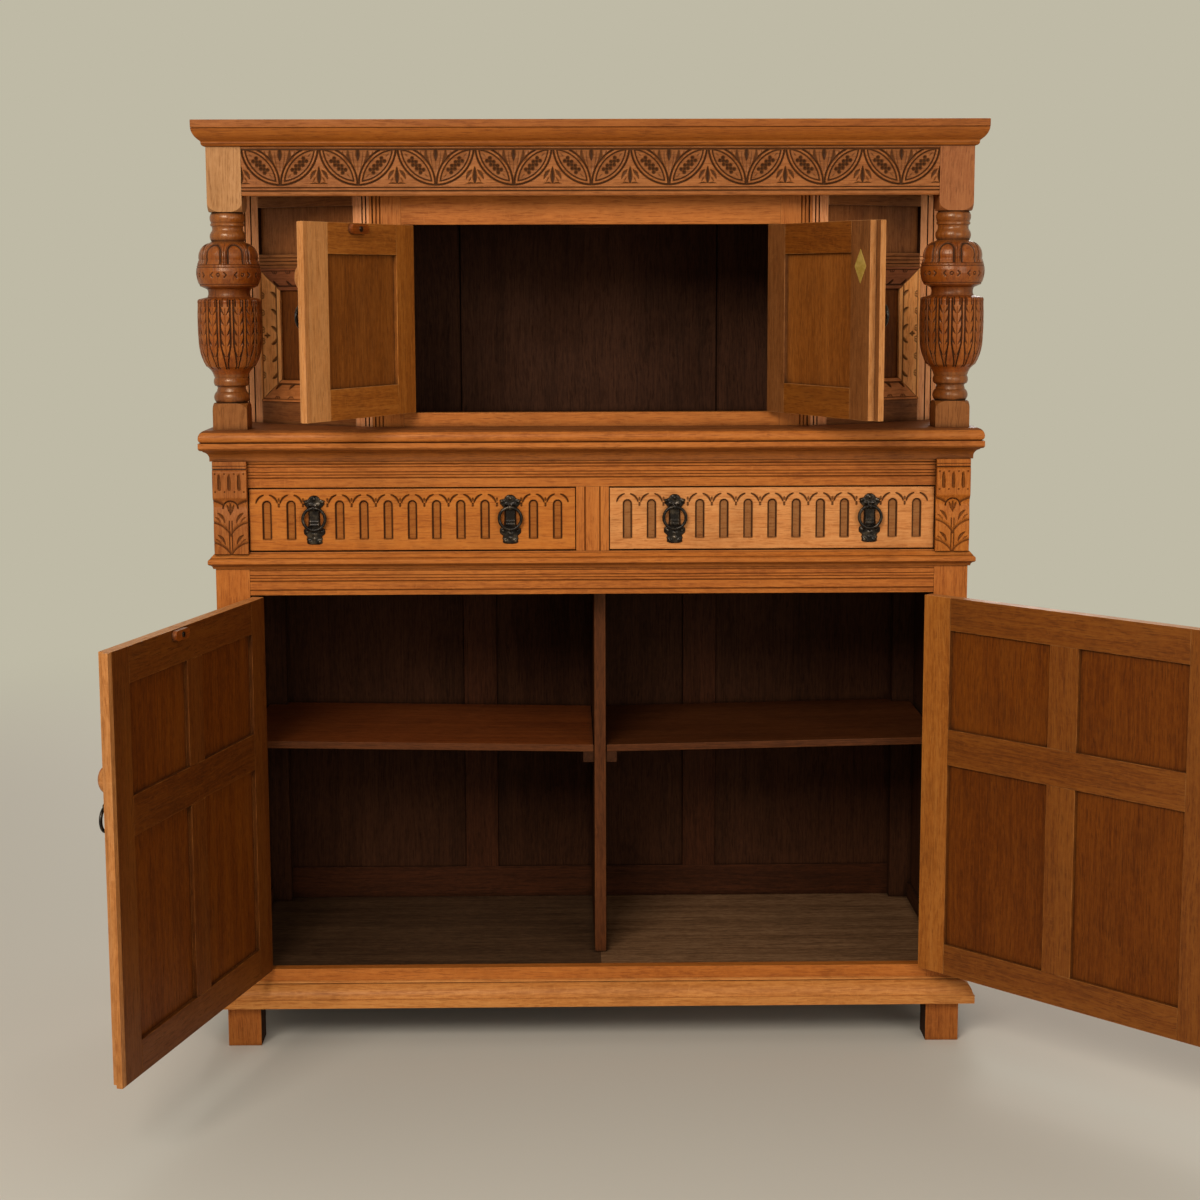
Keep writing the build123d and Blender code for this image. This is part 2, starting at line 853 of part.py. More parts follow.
def make_frame(door, bays, cross):
    """Stiles, rails and inner members of a door, and the panels in their grooves."""
    plane = door.plane(door.angle)
    full = door.depth(0, door_thickness)
    height = (door.low, door.high)
    grooves = [(widen(u, tongue), door.depth(*panel_span), widen(z, tongue)) for u, z in bays]
    inner = (edge_gap + door.stile, door.end - door.stile)
    members = [
        plank((edge_gap, inner[0]), full, height, plane, grooves),
        plank(inner, full, (door.high - door.top_rail, door.high), plane, grooves),
        plank(inner, full, (door.low, door.low + door.bottom_rail), plane, grooves),
    ]
    members += [plank(u, full, z, plane, grooves) for u, z in cross]
    if door.side < 0:
        members.append(plank((inner[1], door.end), full, height, plane, grooves))
    else:
        rebate = ((door.end, door.lip_end), door.depth(front_lip, door_thickness), height)
        meeting = (inner[1], door.lip_end)
        members.append(plank(meeting, full, height, plane, grooves + [rebate]))
    reach = tongue - tongue_slack
    panels = [plank(widen(u, reach), door.depth(*panel_span), widen(z, reach), plane) for u, z in bays]
    return members, panels


def moving_leaf(door, z):
    """Hinge leaf let on to the door's edge, with the middle knuckle of the barrel."""
    half = door.leaf / 2
    knuckle = door.leaf * knuckle_share / 2 - knuckle_gap / 2
    y = door.depth(0, leaf_depth)
    tab = -door.side * (pin_radius + knuckle_radius) / 2
    with BuildPart(door.plane(door.angle)) as leaf:
        with Locations([Vector(0, 0, z)]):
            Cylinder(knuckle_radius, 2 * knuckle)
        with Locations([Vector((leaf_gap + edge_gap) / 2, (tab + y[0]) / 2, z)]):
            Box(edge_gap - leaf_gap, abs(y[0] - tab), 2 * knuckle)
        with Locations([Vector((leaf_gap + edge_gap) / 2, sum(y) / 2, z)]):
            Box(edge_gap - leaf_gap, abs(y[1] - y[0]), 2 * half)
        with Locations([Vector(0, 0, z)]):
            Cylinder(pin_radius + pin_clearance, 4 * knuckle, mode=Mode.SUBTRACT)
    return leaf.part


def fixed_leaf(door, z):
    """Hinge leaf on the post or stile, with the outer knuckles and the pin."""
    half = door.leaf / 2
    inner = door.leaf * knuckle_share / 2 + knuckle_gap / 2
    y = door.depth(0, leaf_depth)
    tab = -door.side * (pin_radius + knuckle_radius) / 2
    with BuildPart(door.plane(0)) as leaf:
        with Locations([Vector(0, 0, z)]):
            Cylinder(pin_radius, 2 * half)
        for end in (-1, 1):
            centre = z + end * (half + inner) / 2
            with Locations([Vector(0, 0, centre)]):
                Cylinder(knuckle_radius, half - inner)
            with Locations([Vector(-(leaf_gap + edge_gap) / 2, (tab + y[0]) / 2, centre)]):
                Box(edge_gap - leaf_gap, abs(y[0] - tab), half - inner)
        with Locations([Vector(-(leaf_gap + edge_gap) / 2, sum(y) / 2, z)]):
            Box(edge_gap - leaf_gap, abs(y[1] - y[0]), 2 * half)
    return leaf.part


def handle_plate(face):
    """Iron plate with leafy lobes and the pierced lug that carries the ring."""
    lug_half = ring_hole + lug_wall
    tip = plate_height / 2
    with BuildPart(face) as plate:
        with BuildSketch(face):
            Rectangle(20, plate_height - 24)
            with Locations([(0, tip - 7), (0, 7 - tip)]):
                Circle(7)
            with Locations([(-11.5, tip - 19), (11.5, tip - 19)]):
                Circle(8.5)
            with Locations([(-10, 25 - tip), (10, 25 - tip)]):
                Circle(8.5)
            with Locations([(-8.5, 13 - tip), (8.5, 13 - tip)]):
                Circle(7)
        extrude(amount=plate_thickness)
        depth = ring_standoff + lug_half - plate_thickness
        with Locations([Vector(0, pivot_rise, plate_thickness + depth / 2)]):
            Box(lug_width, 2 * lug_half, depth)
        with Locations([Vector(0, pivot_rise, ring_standoff)]):
            Cylinder(ring_hole, 2 * lug_width, rotation=(0, 90, 0), mode=Mode.SUBTRACT)
    return plate.part


def handle_ring(face):
    """Round ring hanging from the lug of its plate."""
    with BuildPart(face) as ring:
        with Locations([Vector(0, pivot_rise - ring_radius, ring_standoff)]):
            Torus(ring_radius, ring_wire)
    return ring.part


def stile_boss(face):
    """Oval split turning with its flat back on the stile."""
    with BuildPart() as boss:
        with BuildSketch(face):
            Ellipse(boss_half_width, boss_half_height)
            with Locations([(-boss_half_width, 0)]):
                Rectangle(2 * boss_half_width, 3 * boss_half_height, mode=Mode.SUBTRACT)
        revolve(axis=Axis(face.origin, face.y_dir))
        split(bisect_by=face, keep=Keep.TOP)
    return boss.part


def turn_button(door, u):
    """Wooden turn-button inside the top rail, and the screw that it turns on."""
    hold = door.face(u, door.high - button_drop, door_thickness)
    into = Plane(origin=hold.origin, x_dir=hold.x_dir, z_dir=-hold.z_dir)
    shank = 2 * button_gap + button_thickness
    with BuildPart() as button:
        with BuildSketch(into.offset(button_gap)):
            SlotOverall(button_length, button_width)
            Circle(screw_shank + pin_clearance, mode=Mode.SUBTRACT)
        extrude(amount=button_thickness)
    with BuildPart() as screw:
        with BuildSketch(into):
            Circle(screw_shank)
        extrude(amount=shank)
        with BuildSketch(into.offset(shank)):
            Circle(screw_head)
        extrude(amount=screw_head_height)
    return button.part, screw.part


def make_door(door, bays, cross, button_along):
    """One complete door. Returns the fixed hinge leaves that carry it."""
    members, panels = make_frame(door, bays, cross)
    heights = (door.low + door.hinge_inset, door.high - door.hinge_inset)
    face = door.face(door.handle_along, door.ring_height - pivot_rise + ring_radius, 0)
    iron = [moving_leaf(door, z) for z in heights] + [handle_plate(face)]
    if door.side < 0:
        boss_z = face.origin.Z + plate_height / 2 + boss_gap + boss_half_height
        members.append(stile_boss(door.face(door.end - boss_edge, boss_z, 0)))
        strip_y = door.depth(front_lip + lap_gap, door_thickness)
        strip = plank((door.end, door.lip_end), strip_y, (door.low, door.high), door.plane(door.angle))
        save(f"{door.name}_strip", strip)
        button, screw = turn_button(door, button_along)
        save(f"{door.name}_button", button)
        iron.append(screw)
    save(f"{door.name}_frame", *members)
    save(f"{door.name}_panels", *panels)
    save(f"{door.name}_ironwork", *iron)
    save(f"{door.name}_ring", handle_ring(face))
    return [fixed_leaf(door, z) for z in heights]


def make_lower_doors():
    """The pair of four-panelled doors of the lower stage. Returns their fixed leaves."""
    leaves = []
    low = sill_top + head_gap
    high = rail_bottom - head_gap
    for name, side, angle in (
        ("lower_left_door", -1, left_lower_angle),
        ("lower_right_door", 1, right_lower_angle),
    ):
        door = Door(
            name=name,
            side=side,
            hinge_x=inside - edge_gap,
            front_y=front,
            low=low,
            high=high,
            angle=angle,
            stile=lower_stile,
            top_rail=lower_top_rail,
            bottom_rail=lower_bottom_rail,
            leaf=lower_leaf,
            hinge_inset=lower_hinge_inset,
            ring_height=lower_ring_height,
        )
        start = edge_gap + lower_stile
        stop = door.end - lower_stile
        muntin = ((start + stop - lower_stile) / 2, (start + stop + lower_stile) / 2)
        rail_top = high - lower_top_rail - lower_upper_panel
        upper_row = (rail_top, high - lower_top_rail)
        lower_row = (low + lower_bottom_rail, rail_top - lower_middle_rail)
        columns = ((start, muntin[0]), (muntin[1], stop))
        bays = [(u, z) for z in (upper_row, lower_row) for u in columns]
        cross = [((start, stop), (lower_row[1], upper_row[0])), (muntin, upper_row), (muntin, lower_row)]
        leaves += make_door(door, bays, cross, lower_button_along)
    return leaves


def make_upper_doors():
    """The pair of single-panelled doors of the upper stage. Returns their fixed leaves."""
    leaves = []
    for name, side, angle in (
        ("upper_left_door", -1, left_upper_angle),
        ("upper_right_door", 1, right_upper_angle),
    ):
        door = Door(
            name=name,
            side=side,
            hinge_x=opening_half - edge_gap,
            front_y=cupboard_front,
            low=opening_z + head_gap,
            high=opening_top - head_gap,
            angle=angle,
            stile=upper_stile,
            top_rail=upper_rail,
            bottom_rail=upper_rail,
            leaf=upper_leaf,
            hinge_inset=upper_hinge_inset,
            ring_height=upper_ring_height,
        )
        bay_u = (edge_gap + upper_stile, door.end - upper_stile)
        bay_z = (door.low + upper_rail, door.high - upper_rail)
        leaves += make_door(door, [(bay_u, bay_z)], [], upper_button_along)
        if side > 0:
            make_lozenge(door)
    return leaves


def make_lozenge(door):
    """Thin brass lozenge on the inside of the meeting stile, left bare."""
    face = door.face(lozenge_along, lozenge_height, door_thickness)
    into = Plane(origin=face.origin, x_dir=face.x_dir, z_dir=-face.z_dir)
    wide = lozenge_half_width
    tall = lozenge_half_height
    with BuildPart() as lozenge:
        with BuildSketch(into):
            with BuildLine():
                trace([(wide, 0), (0, tall), (-wide, 0), (0, -tall)])
            make_face()
        extrude(amount=lozenge_thickness)
    save("brass_lozenge", lozenge.part)


# ---------------------------------------------------------------- drawers
def make_drawers():
    """Two drawers: fluted front, box, two plates and two rings each."""
    low = drawer_bottom_z + drawer_head_gap
    high = drawer_top_z - drawer_head_gap
    for name, side in (("left_drawer", -1), ("right_drawer", 1)):
        x = (divider_width / 2 + drawer_gap, inside - drawer_gap)
        box_low = drawer_bottom_z + slide_gap
        box_z = (box_low, box_low + drawer_side_height)
        y = (front + drawer_front, front + drawer_front + drawer_depth)
        bottom_z = (box_low + drawer_bottom_rise, box_low + drawer_bottom_rise + drawer_bottom)
        inner = widen(x, -drawer_side)
        bottom_y = (y[0] - drawer_bottom_tongue, y[1])
        groove = (mirrored(widen(inner, drawer_bottom_tongue), side), bottom_y, bottom_z)
        face_y = (front, front + drawer_front)
        save(f"{name}_front", plank(mirrored(x, side), face_y, (low, high), grooves=[groove]))
        walls = [
            plank(mirrored((x[0], inner[0]), side), y, box_z, grooves=[groove]),
            plank(mirrored((inner[1], x[1]), side), y, box_z, grooves=[groove]),
            plank(mirrored(inner, side), (y[1] - drawer_side, y[1]), (bottom_z[1], box_z[1])),
            plank(*groove),
        ]
        save(f"{name}_box", *walls)
        centre = side * sum(x) / 2
        z = low + drawer_handle_rise
        plates = []
        for hand, step in (("left", -1), ("right", 1)):
            origin = (centre + step * drawer_handle_spacing / 2, front, z)
            face = Plane(origin=origin, x_dir=(1, 0, 0), z_dir=(0, -1, 0))
            plates.append(handle_plate(face))
            save(f"{name}_{hand}_ring", handle_ring(face))
        save(f"{name}_plates", *plates)


make_posts()
make_front_rails()
make_sides()
make_back()
make_lower_mouldings()
make_middle_top()
make_corbels()
save("cupboard_floor", deck(floor_z - floor_thickness, floor_z))
save("dust_board", deck(dust_z, dust_z + dust_board))
save("partition", plank(partition_x, (front + partition_setback, back_face), (floor_z, dust_z)))
make_shelves()
make_battens()
make_drawer_supports()
make_turned_posts()
make_frieze_and_cornice()
make_upper_front()
make_canted_fronts()
make_upper_walls()
save("fixed_hinges", *make_lower_doors(), *make_upper_doors())
make_drawers()
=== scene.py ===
"""Court cupboard in carved and waxed golden oak: dressing of the frame, light and camera.

The rigid members come from the frame. Each is copied, its arrises are eased, and the grain of
its board is written into it, so that one family of oak finishes follows every rail, stile and
panel. Carved and turned members are worked from height maps over the faces that the frame
gives them. All lengths in the code are millimetres until a mesh is made.
"""

import logging
import math
from dataclasses import dataclass, field
from enum import Enum
from typing import Callable, ClassVar, Dict, Iterable, List, Optional, Sequence, Tuple

import bmesh
import bpy
import numpy as np
from mathutils import Matrix, Vector
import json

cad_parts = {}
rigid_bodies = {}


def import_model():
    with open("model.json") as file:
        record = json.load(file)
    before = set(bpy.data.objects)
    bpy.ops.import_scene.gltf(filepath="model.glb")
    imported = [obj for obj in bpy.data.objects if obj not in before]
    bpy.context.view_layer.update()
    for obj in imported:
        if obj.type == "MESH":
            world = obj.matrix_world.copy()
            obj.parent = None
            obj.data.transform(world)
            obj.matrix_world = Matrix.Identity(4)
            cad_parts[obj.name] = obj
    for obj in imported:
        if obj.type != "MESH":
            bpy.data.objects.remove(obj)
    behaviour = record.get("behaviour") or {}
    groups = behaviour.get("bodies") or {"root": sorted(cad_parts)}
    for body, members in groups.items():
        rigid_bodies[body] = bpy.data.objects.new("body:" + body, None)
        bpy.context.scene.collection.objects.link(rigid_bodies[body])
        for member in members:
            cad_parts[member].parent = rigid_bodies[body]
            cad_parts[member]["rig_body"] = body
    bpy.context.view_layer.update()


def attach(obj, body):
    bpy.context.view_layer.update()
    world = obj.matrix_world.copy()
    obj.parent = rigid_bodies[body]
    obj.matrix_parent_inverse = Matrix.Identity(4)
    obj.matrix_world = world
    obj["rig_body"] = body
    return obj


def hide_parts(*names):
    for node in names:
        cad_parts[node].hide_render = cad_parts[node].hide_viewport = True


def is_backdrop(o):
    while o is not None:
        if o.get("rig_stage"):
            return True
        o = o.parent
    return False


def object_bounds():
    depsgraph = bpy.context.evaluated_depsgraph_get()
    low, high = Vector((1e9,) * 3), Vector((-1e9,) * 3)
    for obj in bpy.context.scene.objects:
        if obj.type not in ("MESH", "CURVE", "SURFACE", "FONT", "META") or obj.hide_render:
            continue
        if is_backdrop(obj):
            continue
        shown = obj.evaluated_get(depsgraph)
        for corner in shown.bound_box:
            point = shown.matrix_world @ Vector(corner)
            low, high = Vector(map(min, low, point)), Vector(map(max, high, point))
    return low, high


log = logging.getLogger("court_cupboard")

Array = np.ndarray
Pair = Tuple[float, float]
Triple = Tuple[float, float, float]
Shade = Tuple[int, int, int]
Part = Tuple[slice, slice]
Tree, Node, Socket = bpy.types.NodeTree, bpy.types.Node, bpy.types.NodeSocket
Material, Mesh, Object = bpy.types.Material, bpy.types.Mesh, bpy.types.Object

MM = 0.001
FRONT: Triple = (0.0, -1.0, 0.0)
RIGHT: Triple = (1.0, 0.0, 0.0)
UP: Triple = (0.0, 0.0, 1.0)
# a face looks one way if its normal reaches this far along it
FACING = 0.7
# edges stay sharp above this angle in degrees
SHARP_ANGLE = 32.0
# how far the fronts of both stages lie before the middle, and where the cants begin beside it
LOWER_FRONT = 256.0
UPPER_FRONT = 196.0
CANT_START = 390.0


class Grain(Enum):
    """Which way the grain of a board runs."""

    LONG = "along the longest side"
    UP = "upright"


class Slot(Enum):
    """Material slots of the record."""

    OAK = "oak"
    CARVED = "carved_oak"
    INNER = "inner_oak"
    IRON = "iron"
    BRASS = "brass"


def srgb(red: int, green: int, blue: int) -> Triple:
    """Turns a colour of 0 to 255 into the linear values that a shader takes.

    Args:
        red: Red, 0 to 255.
        green: Green, 0 to 255.
        blue: Blue, 0 to 255.

    Returns:
        The linear red, green and blue.
    """
    parts = [c / 255 for c in (red, green, blue)]
    linear = [c / 12.92 if c < 0.04045 else ((c + 0.055) / 1.055) ** 2.4 for c in parts]
    return (linear[0], linear[1], linear[2])


# ---------------------------------------------------------------- node helpers
class Weaver:
    """Adds and links nodes in one node tree, left to right."""

    def __init__(self, tree: Tree) -> None:
        """Keeps the tree that the nodes go into.

        Args:
            tree: Node tree of a material, a world or a group.
        """
        self.tree = tree
        self.count = 0

    def add(self, kind: str, **settings: object) -> Node:
        """Adds a node.

        Args:
            kind: Blender's name of the node's type.
            settings: Properties set on the node.

        Returns:
            The new node.
        """
        node = self.tree.nodes.new(kind)
        node.location = (200 * (self.count % 12), -220 * (self.count // 12))
        self.count += 1
        for key, value in settings.items():
            setattr(node, key, value)
        return node

    def feed(self, socket: Socket, value: object) -> None:
        """Links an output to an input, or sets the input's own value.

        Args:
            socket: Input socket.
            value: Output socket, number, vector or colour.
        """
        if isinstance(value, Socket):
            self.tree.links.new(value, socket)
        elif isinstance(value, tuple) and socket.type == "RGBA":
            socket.default_value = (*value[:3], 1.0)
        else:
            socket.default_value = value

    def fill(self, node: Node, values: Dict[object, object]) -> Node:
        """Feeds several inputs of a node.

        Args:
            node: The node.
            values: What goes into its inputs, by name or number.

        Returns:
            The node.
        """
        for key, value in values.items():
            self.feed(node.inputs[key], value)
        return node

    def maths(self, operation: str, *values: object, clamp: bool = False) -> Socket:
        """Adds a Math node.

        Args:
            operation: Name of the operation.
            values: Its inputs.
            clamp: Whether the result is held between 0 and 1.

        Returns:
            The output.
        """
        node = self.add("ShaderNodeMath", operation=operation, use_clamp=clamp)
        for socket, value in zip(node.inputs, values):
            self.feed(socket, value)
        return node.outputs[0]

    def sight(self) -> Socket:
        """Marks the rays that see the backdrop.

        Returns:
            One for camera, glossy and transmission rays.
        """
        rays = self.add("ShaderNodeLightPath").outputs
        seen = self.maths("MAXIMUM", rays["Is Camera Ray"], rays["Is Glossy Ray"])
        return self.maths("MAXIMUM", seen, rays["Is Transmission Ray"])

    def scaled(self, vector: object, factors: Triple) -> Socket:
        """Multiplies a vector by one factor for each axis.

        Args:
            vector: Vector output.
            factors: Factors on X, Y and Z.

        Returns:
            The scaled vector.
        """
        node = self.add("ShaderNodeVectorMath", operation="MULTIPLY")
        return self.fill(node, {0: vector, 1: factors}).outputs[0]

    def noise(
        self, vector: object, scale: float, detail: float = 3.0, rough: float = 0.55, bend: float = 0.0
    ) -> Socket:
        """Adds a noise texture.

        Args:
            vector: Coordinates.
            scale: Scale of the noise.
            detail: Number of octaves.
            rough: Weight of the finer octaves.
            bend: Distortion.

        Returns:
            The noise, 0 to 1.
        """
        node = self.add("ShaderNodeTexNoise")
        values = {"Vector": vector, "Scale": scale, "Detail": detail, "Roughness": rough, "Distortion": bend}
        return self.fill(node, values).outputs[0]

    def ramp(self, value: object, low: float, high: float, smooth: bool = True) -> Socket:
        """Maps a range to 0 to 1.

        Args:
            value: Number output.
            low: Value that gives 0.
            high: Value that gives 1.
            smooth: Whether the ends are eased.

        Returns:
            The mapped number.
        """
        node = self.add("ShaderNodeMapRange", interpolation_type="SMOOTHSTEP" if smooth else "LINEAR")
        return self.fill(node, {"Value": value, "From Min": low, "From Max": high}).outputs["Result"]

    def mix(self, amount: object, first: object, second: object, blend: str = "MIX") -> Socket:
        """Mixes two colours.

        Args:
            amount: Share of the second.
            first: First colour.
            second: Second colour.
            blend: Way of mixing.

        Returns:
            The mixed colour.
        """
        node = self.add("ShaderNodeMix", data_type="RGBA", blend_type=blend)
        return self.fill(node, {0: amount, 6: first, 7: second}).outputs[2]

    def bump(self, height: Socket, strength: float, distance: float) -> Socket:
        """Adds a bump.

        Args:
            height: Heights.
            strength: Strength, 0 to 1.
            distance: Greatest height in metres.

        Returns:
            The normal.
        """
        values = {"Height": height, "Strength": strength, "Distance": distance}
        return self.fill(self.add("ShaderNodeBump"), values).outputs["Normal"]


def make_group(
    name: str, inputs: Dict[str, object], outputs: Dict[str, str]
) -> Tuple[Tree, Weaver, object, Node]:
    """Makes an empty shader node group with named sockets.

    Args:
        name: Name of the group.
        inputs: Socket names with their default values. A tuple is a colour and None a vector.
        outputs: Socket names with their kinds.

    Returns:
        The group, a weaver in it, what it is given and its output node.
    """
    tree = bpy.data.node_groups.new(name, "ShaderNodeTree")
    for key, value in inputs.items():
        kind = "Vector" if value is None else "Color" if isinstance(value, tuple) else "Float"
        socket = tree.interface.new_socket(key, in_out="INPUT", socket_type="NodeSocket" + kind)
        if isinstance(value, tuple):
            socket.default_value = (*value, 1.0)
        elif value is not None:
            socket.default_value = value
    for key, kind in outputs.items():
        tree.interface.new_socket(key, in_out="OUTPUT", socket_type="NodeSocket" + kind)
    weaver = Weaver(tree)
    return tree, weaver, weaver.add("NodeGroupInput").outputs, weaver.add("NodeGroupOutput")


def oak_group() -> Tree:
    """Builds the figure of sawn oak: bands, fine streaks, pores and ray flecks.

    Returns:
        The node group.
    """
    tree, w, given, out = make_group(
        "Oak figure",
        {
            "Grain": None,
            "Tone": 0.5,
            "Light": (0.5, 0.25, 0.1),
            "Middle": (0.35, 0.16, 0.05),
            "Dark": (0.18, 0.07, 0.02),
            "Pores": 0.5,
            "Flecks": 0.4,
            "Sheen": 0.45,
        },
        {"Color": "Color", "Roughness": "Float", "Height": "Float"},
    )
    grain = given["Grain"]
    bend = w.noise(w.scaled(grain, (3.0, 9.0, 9.0)), 1.0, 2.0)
    shift = w.maths("MULTIPLY", w.maths("SUBTRACT", bend, 0.5), 0.03)
    push = w.fill(w.add("ShaderNodeCombineXYZ"), {1: shift, 2: shift}).outputs[0]
    wood = w.fill(w.add("ShaderNodeVectorMath", operation="ADD"), {0: grain, 1: push}).outputs[0]
    bands = w.noise(w.scaled(wood, (1.6, 34.0, 34.0)), 1.0, 3.0, 0.5)
    streaks = w.noise(w.scaled(wood, (7.0, 210.0, 210.0)), 1.0, 3.0, 0.6)
    pores = w.noise(w.scaled(wood, (30.0, 460.0, 460.0)), 1.0, 3.0, 0.6)
    mottle = w.noise(w.scaled(wood, (70.0, 170.0, 170.0)), 1.0, 3.0, 0.65)
    flecks = w.noise(w.scaled(wood, (230.0, 60.0, 75.0)), 1.0, 2.0, 0.55, 0.6)
    broad = w.noise(w.scaled(grain, (2.2, 5.0, 5.0)), 1.0, 2.0)
    lines = w.noise(w.scaled(wood, (11.0, 620.0, 620.0)), 1.0, 2.0, 0.6)
    banded = w.maths("MULTIPLY", w.ramp(bands, 0.3, 0.7), 0.24)
    figure = w.maths("ADD", banded, w.maths("MULTIPLY", w.ramp(streaks, 0.32, 0.7), 0.24))
    figure = w.maths("ADD", figure, w.maths("MULTIPLY", w.ramp(lines, 0.36, 0.66), 0.22))
    figure = w.maths("ADD", figure, w.maths("MULTIPLY", w.ramp(mottle, 0.34, 0.66), 0.2))
    toned = w.maths("ADD", figure, w.maths("MULTIPLY", w.maths("SUBTRACT", given["Tone"], 0.5), 0.45))
    toned = w.maths("ADD", toned, w.maths("MULTIPLY", w.maths("SUBTRACT", broad, 0.5), 0.45), clamp=True)
    lower = w.mix(w.ramp(toned, 0.0, 0.55, False), given["Light"], given["Middle"])
    colour = w.mix(w.ramp(toned, 0.5, 1.0, False), lower, given["Dark"])
    pore = w.maths("MULTIPLY", w.ramp(pores, 0.53, 0.66), given["Pores"])
    colour = w.mix(pore, colour, given["Dark"])
    fleck = w.maths("MULTIPLY", w.ramp(flecks, 0.6, 0.74), given["Flecks"])
    colour = w.mix(fleck, colour, given["Light"])
    rough = w.maths("ADD", given["Sheen"], w.maths("MULTIPLY", figure, 0.12))
    rough = w.maths("ADD", rough, w.maths("MULTIPLY", pore, 0.2))
    rough = w.maths("SUBTRACT", rough, w.maths("MULTIPLY", fleck, 0.1))
    height = w.maths("SUBTRACT", w.maths("MULTIPLY", streaks, 0.5), w.maths("MULTIPLY", pore, 0.9))
    w.fill(out, {"Color": colour, "Roughness": rough, "Height": height})
    return tree


def patina_and_shade_group() -> Tree:
    """Builds the darkening in corners and cuts, partly soiling and partly painted shade, and the lighter
    arrises, partly rubbing and partly painted highlight.

    Returns:
        The node group.
    """
    tree, w, given, out = make_group(
        "Patina",
        {
            "Color": (0.5, 0.5, 0.5),
            "Cut": 0.0,
            "Arris": 0.0,
            "Dirt": (0.05, 0.02, 0.01),
            "Rubbed": (0.6, 0.35, 0.15),
            "Grime": 0.7,
            "Wear": 0.4,
        },
        {"Color": "Color", "Mask": "Float"},
    )
    place = w.add("ShaderNodeTexCoord").outputs["Object"]
    # painted shade: occlusion darkens corners, creases and gaps between parts, for soiling and for the shade
    # that falls there
    corner = w.add("ShaderNodeAmbientOcclusion", samples=6)
    corner.inputs["Distance"].default_value = 0.017
    uneven = w.noise(place, 26.0, 3.0)
    corner_grime_and_shade = w.ramp(w.maths("SUBTRACT", 1.0, corner.outputs["AO"]), 0.14, 0.56)
    dirt_and_shade = w.maths("MULTIPLY", corner_grime_and_shade, w.maths("ADD", w.maths("MULTIPLY", uneven, 0.9), 0.4))
    clouds = w.maths("MULTIPLY", w.ramp(w.noise(place, 9.0, 4.0, 0.62), 0.46, 0.72), 0.2)
    # painted shade: darker towards the floor, for the shade under the base moulding
    height = w.fill(w.add("ShaderNodeSeparateXYZ"), {0: place}).outputs[2]
    painted_foot_shade = w.maths("MULTIPLY", w.maths("SUBTRACT", 1.0, w.ramp(height, 0.03, 0.1)), 0.42)
    dirt_and_shade = w.maths("MAXIMUM", dirt_and_shade, w.maths("MAXIMUM", clouds, painted_foot_shade))
    # staining and painted shade in carved cuts and grooves join in
    stained_and_shaded = w.maths("MAXIMUM", dirt_and_shade, given["Cut"])
    mask = w.maths("MULTIPLY", stained_and_shaded, given["Grime"], clamp=True)
    # painted highlight: arrises take the lighter colour, for rubbing and for the light that catches them
    rub_and_light = w.maths("MULTIPLY", given["Arris"], w.ramp(w.noise(place, 34.0, 4.0), 0.35, 0.62))
    rub_and_light = w.maths("MULTIPLY", rub_and_light, given["Wear"], clamp=True)
    colour = w.mix(rub_and_light, given["Color"], given["Rubbed"])
    w.fill(out, {"Color": w.mix(mask, colour, given["Dirt"]), "Mask": mask})
    return tree


def new_material(name: str) -> Tuple[Material, Weaver, Node]:
    """Makes a material with a plain shader.

    Args:
        name: Its name.

    Returns:
        The material, a weaver in it and its shader.
    """
    material = bpy.data.materials.new(name)
    material.use_nodes = True
    return material, Weaver(material.node_tree), material.node_tree.nodes["Principled BSDF"]


# ---------------------------------------------------------------- finishes
@dataclass(frozen=True)
class Oak:
    """One tone of oak and how it is polished."""

    name: str
    light: Shade
    middle: Shade
    dark: Shade
    # colours of soiling with painted shade, and of rubbing with painted highlight
    dirt_and_shade: Shade
    rubbed_and_lit: Shade
    pores: float = 0.6
    flecks: float = 0.35
    sheen: float = 0.42
    # strength of soiling with painted shade, and of rubbing with painted highlight
    grime_and_shade: float = 0.7
    wear_and_light: float = 0.4
    coat: float = 0.06
    relief: float = 0.4
    gloss: float = 0.24

    def make(self, figure: Tree, patina_and_shade: Tree) -> Material:
        """Builds the material.

        Args:
            figure: Group with the figure of oak.
            patina_and_shade: Group with soiling and painted shade, and rubbing and painted highlight on
                arrises.

        Returns:
            The material.
        """
        material, w, shader = new_material(self.name)
        grain = w.add("ShaderNodeAttribute", attribute_name="grain").outputs["Vector"]
        keys = ("tone", "cut", "arris")
        tone, cut, arris = (w.add("ShaderNodeAttribute", attribute_name=key).outputs["Fac"] for key in keys)
        wood = w.fill(
            w.add("ShaderNodeGroup", node_tree=figure),
            {
                "Grain": grain,
                "Tone": tone,
                "Light": srgb(*self.light),
                "Middle": srgb(*self.middle),
                "Dark": srgb(*self.dark),
                "Pores": self.pores,
                "Flecks": self.flecks,
                "Sheen": self.sheen,
            },
        ).outputs
        aged_and_shaded = w.fill(
            w.add("ShaderNodeGroup", node_tree=patina_and_shade),
            {
                "Color": wood["Color"],
                "Cut": cut,
                "Arris": arris,
                "Dirt": srgb(*self.dirt_and_shade),
                "Rubbed": srgb(*self.rubbed_and_lit),
                "Grime": self.grime_and_shade,
                "Wear": self.wear_and_light,
            },
        ).outputs
        rough = w.maths("ADD", wood["Roughness"], w.maths("MULTIPLY", aged_and_shaded["Mask"], 0.6), clamp=True)
        w.fill(
            shader,
            {
                "Base Color": aged_and_shaded["Color"],
                "Roughness": rough,
                "Specular IOR Level": self.gloss,
                "Specular Tint": (1.0, 0.82, 0.6),
                "Coat Weight": self.coat,
                "Coat Roughness": 0.3,
                "Normal": w.bump(wood["Height"], self.relief, 0.0006),
            },
        )
        return material


